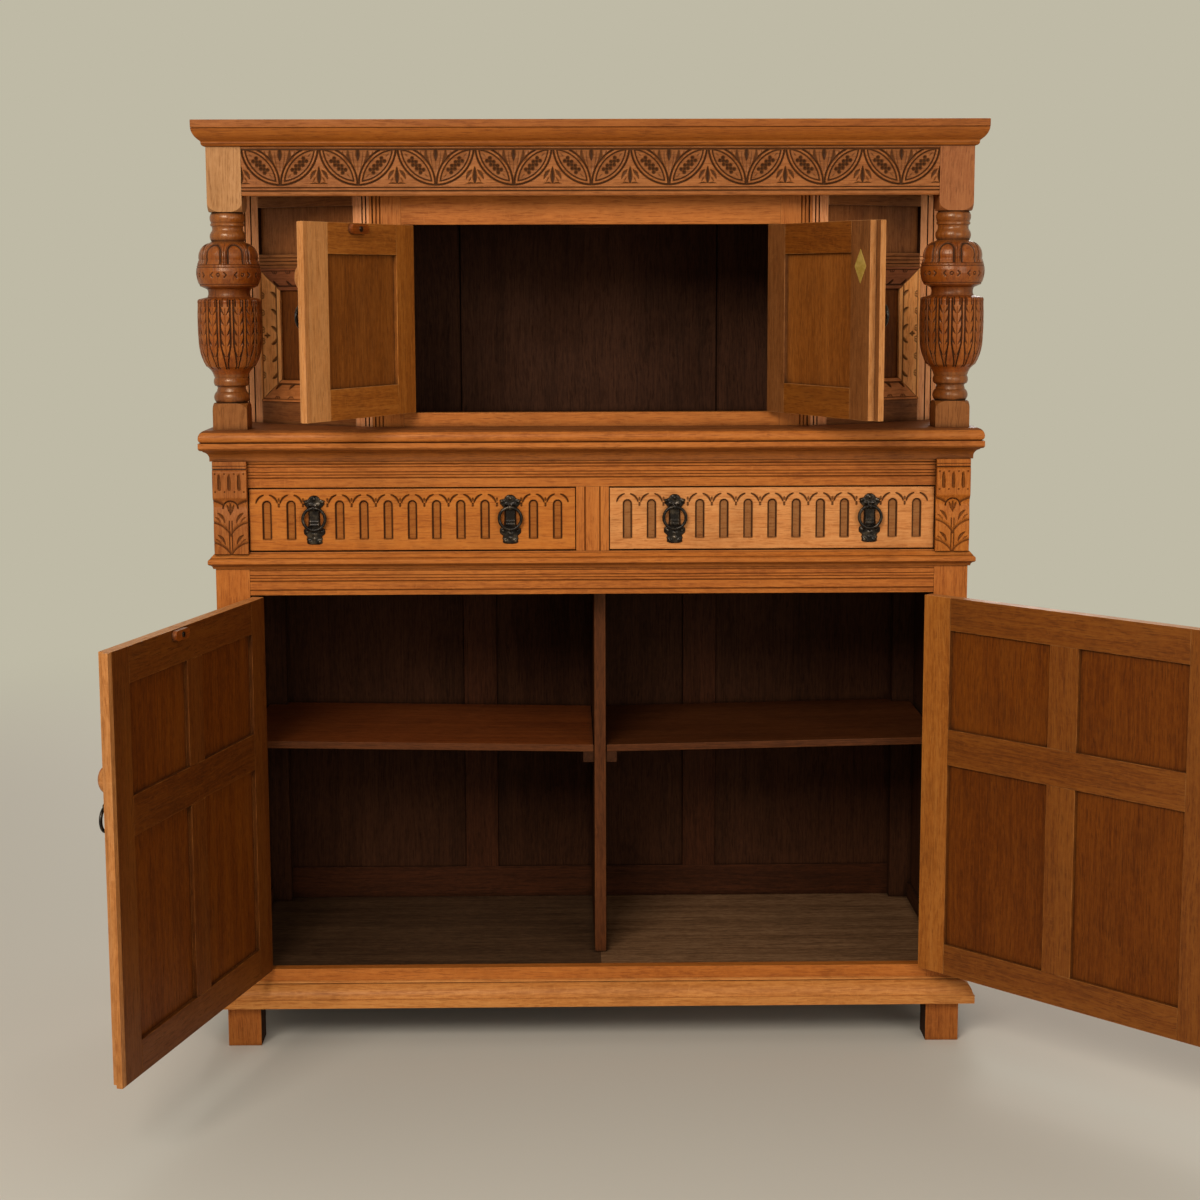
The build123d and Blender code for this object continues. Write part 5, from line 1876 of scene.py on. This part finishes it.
    def add(self, pile: Pile, corners: Array) -> None:
        """Adds the turning to a pile.

        Args:
            pile: Pile that takes it.
            corners: Corners of its solid, in millimetres.
        """
        heights, sizes = self.outline(corners)
        up = np.unique(np.concatenate([np.arange(self.low, self.low + self.height, self.step), heights]))
        cut = Carving(np.linspace(0, 360, self.turns + 1), up)
        self.carve(cut)
        rows, columns = cut.deep.shape
        radius = np.interp(up, heights, sizes)[:, None] - cut.deep
        angle = np.radians(cut.across)[None, :-1] + math.pi / 2
        radius = radius[:, :-1]
        x = self.middle[0] + radius * np.cos(angle)
        y = self.middle[1] + radius * np.sin(angle)
        z = np.repeat(up[:, None], columns - 1, 1)
        points = np.stack([x.ravel(), y.ravel(), z.ravel()], -1)
        index = np.arange(rows * (columns - 1)).reshape(rows, columns - 1)
        ring = np.concatenate([index, index[:, :1]], 1)
        quads = grid_quads(ring)
        faces = [*quads.tolist(), index[0, ::-1].tolist(), index[-1].tolist()]
        grain = np.stack([z.ravel(), x.ravel(), y.ravel()], -1) * MM + np.array([4.0, 6.0, 2.0])
        chosen = [self.finish(float(z[quad[0] // (columns - 1), 0])) for quad in quads] + ["ring_oak"] * 2
        cup = (z > self.low + 62) & (z < self.low + 172)
        # painted highlight: the raised parts of the cup take the lighter colour, for rubbing and for the
        # light on them
        lit_and_worn_crest = 0.6 * np.clip(1.0 - cut.deep[:, :-1] / 0.5, 0, 1) * cup
        pile.lay(points * MM, faces, chosen, grain, 0.5, cut.stain[:, :-1].ravel(), lit_and_worn_crest.ravel())

    def finish(self, height: float) -> str:
        """Gives the finish at one height.

        Args:
            height: Height above the floor.

        Returns:
            Name of the finish.
        """
        up = height - self.low
        if up < 50 or up > 275:
            return "ring_oak"
        return "cup_oak" if up < 183 else "red_oak"


@dataclass
class HandlePlate:
    """Cast plate of one pull: a crown, a box behind the ring, and a leafy foot."""

    centre: Triple
    out: Pair
    columns: int = 25
    step: float = 0.7
    half_widths: ClassVar[Array] = np.array(
        [
            (-43.4, 4.0), (-43.0, 9.5), (-41.0, 13.8), (-38.2, 13.4), (-36.0, 13.0), (-33.5, 14.6),
            (-30.5, 12.6), (-28.0, 14.0), (-24.6, 18.4), (-19.2, 19.0), (-15.5, 17.6), (-12.6, 11.0),
            (-1.6, 10.3), (13.0, 10.0), (19.4, 9.8), (22.0, 13.0), (25.0, 15.2), (28.0, 18.4),
            (31.0, 17.4), (33.4, 19.4), (35.0, 18.0), (36.0, 10.4), (39.4, 9.2), (42.0, 6.0),
            (43.4, 3.0),
        ]
    )
    lobes: ClassVar[Array] = np.array(
        [
            (0, 37.5, 4.2, 2.8), (-14.5, 32, 3.4, 2.6), (14.5, 32, 3.4, 2.6), (-6.5, 27, 2.8, 2.2),
            (6.5, 27, 2.8, 2.2), (0, 22, 4.4, 2.6), (-12.5, -20, 3.8, 2.8), (12.5, -20, 3.8, 2.8),
            (0, -25, 3.6, 2.0), (-8.5, -38, 3.2, 2.4), (8.5, -38, 3.2, 2.4), (0, -33, 2.8, 1.6),
        ]
    )

    def relief(self, x: Array, y: Array) -> Array:
        """Gives how far the plate stands out at each place.

        Args:
            x: Places across.
            y: Places up.

        Returns:
            Heights in millimetres.
        """
        height = np.full_like(x, 2.3)
        for lx, ly, size, rise in self.lobes:
            height += rise * np.exp(-((x - lx) ** 2 + (y - ly) ** 2) / (size * size * 0.7))
        box = np.ones_like(x)
        for inward in (9.0 - np.abs(x), 17.5 - y, y + 12.5):
            box *= np.clip(inward / 1.4, 0, 1)
        ridges = 0.5 * np.exp(-((y + 3.0) ** 2) / 2.2) + 0.5 * np.exp(-((y + 8.5) ** 2) / 2.2)
        return height + box * (1.7 + ridges)

    def point(self, x: Array, y: Array, out: Array) -> Array:
        """Gives places in the scene from places on the plate.

        Args:
            x: Places across.
            y: Places up.
            out: Distances from its back.

        Returns:
            Corners in metres.
        """
        ox, oy = self.out
        cx, cy, cz = self.centre
        return np.stack([cx - oy * x + ox * out, cy + ox * x + oy * out, cz + y], -1) * MM

    def add(self, pile: Pile) -> None:
        """Adds the plate and the eye of its ring to a pile.

        Args:
            pile: Pile that takes them.
        """
        top = self.half_widths[-1, 0]
        rows = np.arange(-top, top + 0.01, self.step)
        half = np.interp(rows, self.half_widths[:, 0], self.half_widths[:, 1])
        half = np.convolve(np.pad(half, 1, mode="edge"), [0.25, 0.5, 0.25], "valid")
        share = np.sin(np.linspace(-np.pi / 2, np.pi / 2, self.columns))
        x, y = half[:, None] * share[None, :], np.repeat(rows[:, None], self.columns, 1)
        rim = np.minimum((1 - np.abs(share))[None, :] * half[:, None], (top + 0.2 - np.abs(rows))[:, None])
        out = self.relief(x, y) * np.clip(rim / 1.8, 0.12, 1.0) ** 0.5
        x = np.concatenate([x[:, :1], x, x[:, -1:]], 1)
        y = np.concatenate([y[:, :1], y, y[:, -1:]], 1)
        out = np.concatenate([out[:, :1] * 0, out, out[:, -1:] * 0], 1)
        index = np.arange(x.size).reshape(x.shape)
        corners = self.point(x.ravel(), y.ravel(), out.ravel())
        behind = [*index[::-1, 0].tolist(), *index[:, -1].tolist()]
        faces = [*grid_quads(index).tolist(), index[0, ::-1].tolist(), index[-1].tolist(), behind]
        pile.lay(corners, faces, ["black_iron"], corners, 0.5)
        circles = [np.linspace(0, 2 * np.pi, count, endpoint=False) for count in (28, 12)]
        turn, section = np.meshgrid(*circles, indexing="ij")
        radius = 4.5 + 1.05 * np.cos(section)
        eye = (2.4 * np.sin(section), 22 + radius * np.cos(turn), 9.5 + radius * np.sin(turn))
        corners = self.point(*(part.ravel() for part in eye))
        index = np.arange(turn.size).reshape(turn.shape)
        a, b = index, np.roll(index, -1, 0)
        quads = np.stack([a, np.roll(a, -1, 1), np.roll(b, -1, 1), b], -1).reshape(-1, 4)
        pile.lay(corners, quads.tolist(), ["black_iron"], corners, 0.5)


def none_kept(middle: Array) -> bool:
    """Leaves out every solid, for a member that is worked anew."""
    return False


def all_of(workings: Sequence[object]) -> Callable[[Pile], None]:
    """Joins several workings into one.

    Args:
        workings: Things that add themselves to a pile.

    Returns:
        Function that adds all of them.
    """

    def add(pile: Pile) -> None:
        """Adds all of them to a pile."""
        for working in workings:
            working.add(pile)

    return add


@dataclass
class Cupboard:
    """The whole piece: carcase, upper stage, doors and drawers."""

    joiner: Joiner

    def carcase(self) -> None:
        """Dresses the lower carcase."""
        dress = self.joiner.dress

        def inside(normal: Vector, centre: Vector) -> Choice:
            """Gives the dark finish to faces that look into the cupboard."""
            inward = normal.x * (-1 if centre.x > 0 else 1)
            if centre.y > 240 and normal.y > FACING:
                return "rough_oak"
            forward = normal.y < -FACING and centre.y > -200
            if inward > FACING and abs(centre.x) > 500 or forward or normal.y > FACING:
                return "dark_oak"
            return None

        def behind(normal: Vector, centre: Vector) -> Choice:
            """Gives the rough finish to faces that look to the back."""
            return "rough_oak" if normal.y > FACING and centre.y > 200 else None

        def edges(normal: Vector, centre: Vector) -> Choice:
            """Gives the lighter finish to front edges."""
            return "edge_oak" if normal.y < -0.2 else None

        def rail(normal: Vector, centre: Vector) -> Choice:
            """Gives the dark finish to faces that look inwards, up or down."""
            return inside(normal, centre) or ("dark_oak" if abs(normal.z) > FACING else None)

        def waist(normal: Vector, centre: Vector) -> Choice:
            """Gives the cove under the waist moulding a darker copy, a painted shade."""
            return "cove_oak" if centre.z < 887 else None

        def middle(normal: Vector, centre: Vector) -> Choice:
            """Gives the cove under the middle moulding a darker copy, a painted shade."""
            return "cove_oak" if centre.z < 1089.6 else None

        def top(normal: Vector, centre: Vector) -> Choice:
            """Gives the upper face of the middle top a darker copy, a painted shade."""
            return "top_oak" if normal.z > FACING else None

        def right_half(normal: Vector, centre: Vector) -> Choice:
            """Gives the floor right of the partition a worn finish."""
            return "worn_floor_oak" if centre.x > 14 else None

        dress("posts", faces=inside)
        lines = reeds(FRONT, LOWER_FRONT, UP, (1042.0, 1047.2, 1056.1, 859.5, 864.4, 873.0), 2.2, 1.4)
        lines += reeds(FRONT, LOWER_FRONT, UP, (1036.7, 1061.3, 853.9, 838.0), 3.2, 2.3)
        dress("front_rails", faces=inside, grooves=lines)
        dress("side_rails", faces=rail)
        dress("side_panels", grain=Grain.UP, faces=inside)
        lines = round_case(281.0, 691.0, 92.0, 2.6, 1.6, 4.0)
        lines += round_case(281.0, 691.0, 117.4, 2.4, 1.4, 24.0)
        # painted light: the base moulding takes a paler copy
        dress("base_moulding", "sunned_oak", grooves=lines)
        lines = round_case(268.0, 678.0, 895.6, 2.4, 1.4, 8.0)
        dress("waist_moulding", faces=waist, grooves=lines)
        lines = round_case(278.0, 688.0, 1090.6, 2.2, 1.4, 6.0)
        dress("middle_moulding", faces=middle, grooves=lines)
        lines = reeds(FRONT, LOWER_FRONT, RIGHT, (-13.2, 13.2), 3.2, 2.4)
        dress("drawer_divider", grooves=lines)
        dress("middle_top", ease=2.2, faces=top)
        brackets = [Corbel(-636.0), Corbel(636.0)]
        dress("corbels", "carved_oak", keep=none_kept, extra=all_of(brackets))
        lines = [Groove(UP, 138.0, RIGHT, 14.0, 1.0, 0.3)]
        dress("cupboard_floor", "floor_oak", Slot.INNER, faces=right_half, grooves=lines)
        for node in ("dust_board", "drawer_runners", "battens"):
            dress(node, "dark_oak", Slot.INNER)
        dress("back_frame", "framing_oak", Slot.INNER, faces=behind)
        dress("back_panels", "dark_oak", Slot.INNER, Grain.UP, faces=behind)
        dress("partition", "dark_oak", Slot.INNER, Grain.UP, ease=4.0, faces=edges)

        def shelf(normal: Vector, centre: Vector) -> Choice:
            """Gives the front edges a darker finish, and the top of the right shelf a painted shade."""
            return "edge_oak" if normal.y < -FACING or centre.x > 0 and normal.z > FACING else None

        dress("shelves", "shelf_oak", Slot.INNER, faces=shelf)

    def upper_stage(self) -> None:
        """Dresses the upper stage."""
        dress = self.joiner.dress
        self.turned_posts()

        def inside(normal: Vector, centre: Vector) -> Choice:
            """Gives the dark finish to faces that look inwards, and the golden one to outer sides."""
            outward = normal.x * (1 if centre.x > 0 else -1)
            if centre.y > 240 and normal.y > FACING:
                return "rough_oak"
            if normal.y > 0.3 or outward < -0.4 and abs(centre.x) > 380:
                return "dark_oak"
            if outward > 0.9 and abs(centre.x) > 630:
                return "golden_oak"
            return None

        def at_side(middle: Array) -> bool:
            """Keeps the rails at both sides."""
            return abs(middle[0]) > 300

        dress("frieze_rails", "golden_oak", Slot.CARVED, keep=at_side, extra=Frieze().add, faces=inside)
        lines = round_case(276.0, 686.0, 1639.4, 2.6, 1.7, 8.0)
        lines += round_case(276.0, 686.0, 1613.4, 2.4, 1.5, 18.0)
        # painted shade: the cornice and the top board take a darker copy
        dress("cornice", "cornice_oak", grooves=lines)
        dress("top_board", "cornice_oak")
        lines = reeds(FRONT, UPPER_FRONT, RIGHT, (-384.0, -377.5, -371.0, 371.0, 377.5, 384.0), 3.0, 2.4)
        dress("upper_front_frame", faces=inside, grooves=lines)
        lines = []
        for side in (-1, 1):
            run = Vector((side * 250.0, 157.0, 0.0)).normalized()
            out = Vector((side * run.y, -abs(run.x), 0.0))
            start = Vector((side * CANT_START, -UPPER_FRONT, 0.0))
            level = start.dot(out)
            places = [start.dot(run) + u for u in (7.0, 15.0, 268.0, 282.0)]
            lines += reeds(tuple(out), level, tuple(run), places, 3.0, 2.2)
            lines += reeds(tuple(out), level, UP, (1408.0, 1414.5, 1421.0), 2.2, 1.4)

        def stile(normal: Vector, centre: Vector) -> Choice:
            """Gives the stiles at both ends of a canted corner a paler copy, a painted light."""
            run = math.hypot(abs(centre.x) - CANT_START, centre.y + UPPER_FRONT)
            return inside(normal, centre) or ("cant_stile_oak" if run < 37 or run > 250 else None)

        dress("canted_frames", "cant_oak", faces=stile, grooves=lines)

        def panel(normal: Vector, centre: Vector) -> Choice:
            """Gives the sunk panels a redder finish than the plain ones above."""
            return inside(normal, centre) or ("panel_oak" if centre.z < 1405 else None)

        dress("canted_panels", "cant_oak", grain=Grain.UP, faces=panel)
        frames = [CantedFrame(-1), CantedFrame(1)]
        dress("carved_frames", "cant_carving", Slot.CARVED, keep=none_kept, extra=all_of(frames))
        dress("upper_sides", "dark_oak", Slot.INNER, Grain.UP, faces=inside)
        joint = (640.0 - 22.0) * 0.83 / 2
        lines = reeds(FRONT, -244.0, RIGHT, (4.4 - joint, joint - 4.4), 3.6, 4.0)
        dress("upper_back", "back_oak", Slot.INNER, Grain.UP, faces=inside, grooves=lines)

    def turned_posts(self) -> None:
        """Dresses the square ends of the front posts and turns and carves what lies between."""
        source = bpy.data.objects["turned_posts"]
        turned = [corners / MM for corners, _ in separate_solids(source.data)]

        def between(pile: Pile) -> None:
            """Adds both turnings."""
            for corners in turned:
                side = math.copysign(1.0, corners[:, 0].mean())
                CuppedPost((side * 634.0, -224.0)).add(pile, corners)

        def squared(triangle_middles: Array) -> Array:
            """Tells which triangles belong to the square ends."""
            z = triangle_middles[:, 2]
            return (z < 1168.05) | (z > 1497.95)

        def foot(normal: Vector, centre: Vector) -> Choice:
            """Gives the blocks under and over the turning their own finishes."""
            if centre.z > 1400:
                return "head_oak" if centre.x < 0 else "right_head_oak"
            return "block_oak" if centre.z < 1180 else None

        self.joiner.dress("turned_posts", "golden_oak", Slot.CARVED, trim=squared, extra=between, faces=foot)

    def doors(self) -> None:
        """Dresses the four doors."""
        dress = self.joiner.dress
        # a stile ends at the first place from the hinge, and the other begins at the second
        hinge_stile, meeting_stile = 58, 268
        # name, side, degrees open, hinge beside and before the middle, height of the handle
        doors = (
            ("lower_left_door", -1, 104.7, 605.0, -259.4, 559.5),
            ("lower_right_door", 1, 132.0, 605.0, -259.4, 559.5),
            ("upper_left_door", -1, 118.0, 333.0, -199.4, 1318.5),
            ("upper_right_door", 1, 115.5, 333.0, -199.4, 1318.5),
        )
        for name, side, angle, reach, hinge_y, handle in doors:
            upper = "upper" in name
            along = Vector((-side * math.cos(math.radians(angle)), -math.sin(math.radians(angle)), 0.0))
            inward = Vector((along.y * side, -along.x * side, 0.0))
            hinge = Vector((side * reach, hinge_y, 0.0))

            def frame_face(normal: Vector, centre: Vector) -> Choice:
                """Gives the browner finish to the inside of a door, lighter on the upper pair's stiles."""
                place = (centre - hinge).dot(along)
                if normal.dot(along) > FACING and place > reach - 30 or normal.z > FACING and centre.z > 800:
                    return "pale_oak"
                if normal.dot(inward) < -0.3:
                    return None
                if not upper:
                    # painted shade: the lower left door's inside takes a darker copy
                    return "dim_door_oak" if side < 0 else "door_gold" if place < hinge_stile else "door_oak"
                if side > 0:
                    return "door_oak" if hinge_stile < place < meeting_stile else "stile_oak"
                return "stile_gold" if place > meeting_stile else "door_gold"

            def panel_face(normal: Vector, centre: Vector) -> Choice:
                """Gives the browner finish to the inside of a panel."""
                if normal.dot(inward) < FACING:
                    return None
                return "upper_panel_oak" if upper else "panel_oak"

            dress(name + "_frame", faces=frame_face)
            dress(name + "_panels", grain=Grain.UP, faces=panel_face)
            if "left" in name:
                dress(name + "_strip", "pale_oak")
                dress(name + "_button", "red_oak")
            spot = hinge + along * (reach - (34.5 if side < 0 else 21.0)) + inward * 3.4
            plate = HandlePlate((spot.x, spot.y, handle), (-inward.x, -inward.y))

            def not_plate(middle: Array) -> bool:
                """Tells whether a solid is anything but the cast plate."""
                beside = math.hypot(middle[0] - spot.x, middle[1] - spot.y)
                return beside > 9.0 or abs(middle[2] - handle) > 15.0

            dress(name + "_ironwork", "black_iron", Slot.IRON, ease=0.4, keep=not_plate, extra=plate.add)
            dress(name + "_ring", "black_iron", Slot.IRON, ease=0.0)
        dress("fixed_hinges", "black_iron", Slot.IRON, ease=0.0)
        dress("brass_lozenge", "old_brass", Slot.BRASS, ease=0.3)

    def drawers(self) -> None:
        """Dresses the two drawers."""
        dress = self.joiner.dress
        fronts = {
            "left_drawer": DrawerFront(-605.0, -30.0, "drawer_oak", 0.3, 0.5),
            "right_drawer": DrawerFront(30.0, 605.0, "right_drawer_oak", 0.58, 0.25),
        }
        for name, front in fronts.items():
            dress(name + "_front", "drawer_oak", keep=none_kept, extra=front.add)
            dress(name + "_box", "rough_oak", Slot.INNER)
            middle = (front.left + front.right) / 2
            plates = [HandlePlate((middle + x, -LOWER_FRONT, 962.5), (0.0, -1.0)) for x in (-172.5, 172.5)]
            dress(name + "_plates", "black_iron", Slot.IRON, keep=none_kept, extra=all_of(plates))
            for hand in ("left", "right"):
                dress(f"{name}_{hand}_ring", "black_iron", Slot.IRON, ease=0.0)

    def build(self) -> None:
        """Builds the whole piece in order."""
        self.carcase()
        self.upper_stage()
        self.doors()
        self.drawers()


def make_materials() -> Dict[str, Material]:
    """Builds every finish once.

    Returns:
        Materials by name.
    """
    figure, patina_and_shade = oak_group(), patina_and_shade_group()
    materials = {finish.name: finish.make(figure, patina_and_shade) for finish in FINISHES}
    materials.update({finish.name: finish.make() for finish in METALS})
    return materials


def write_sizes(after: Sequence[Vector]) -> None:
    """Does nothing with the dressed piece's box; neither box is written.

    Args:
        after: Lowest and highest corner of the dressed piece; not used.
    """
    import json


def main() -> None:
    """Builds the cupboard in its studio."""
    logging.basicConfig(level=logging.INFO, format="%(name)s: %(message)s")
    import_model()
    Studio().build()
    Cupboard(Joiner(make_materials())).build()
    write_sizes(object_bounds())


if __name__ == "__main__":
    main()
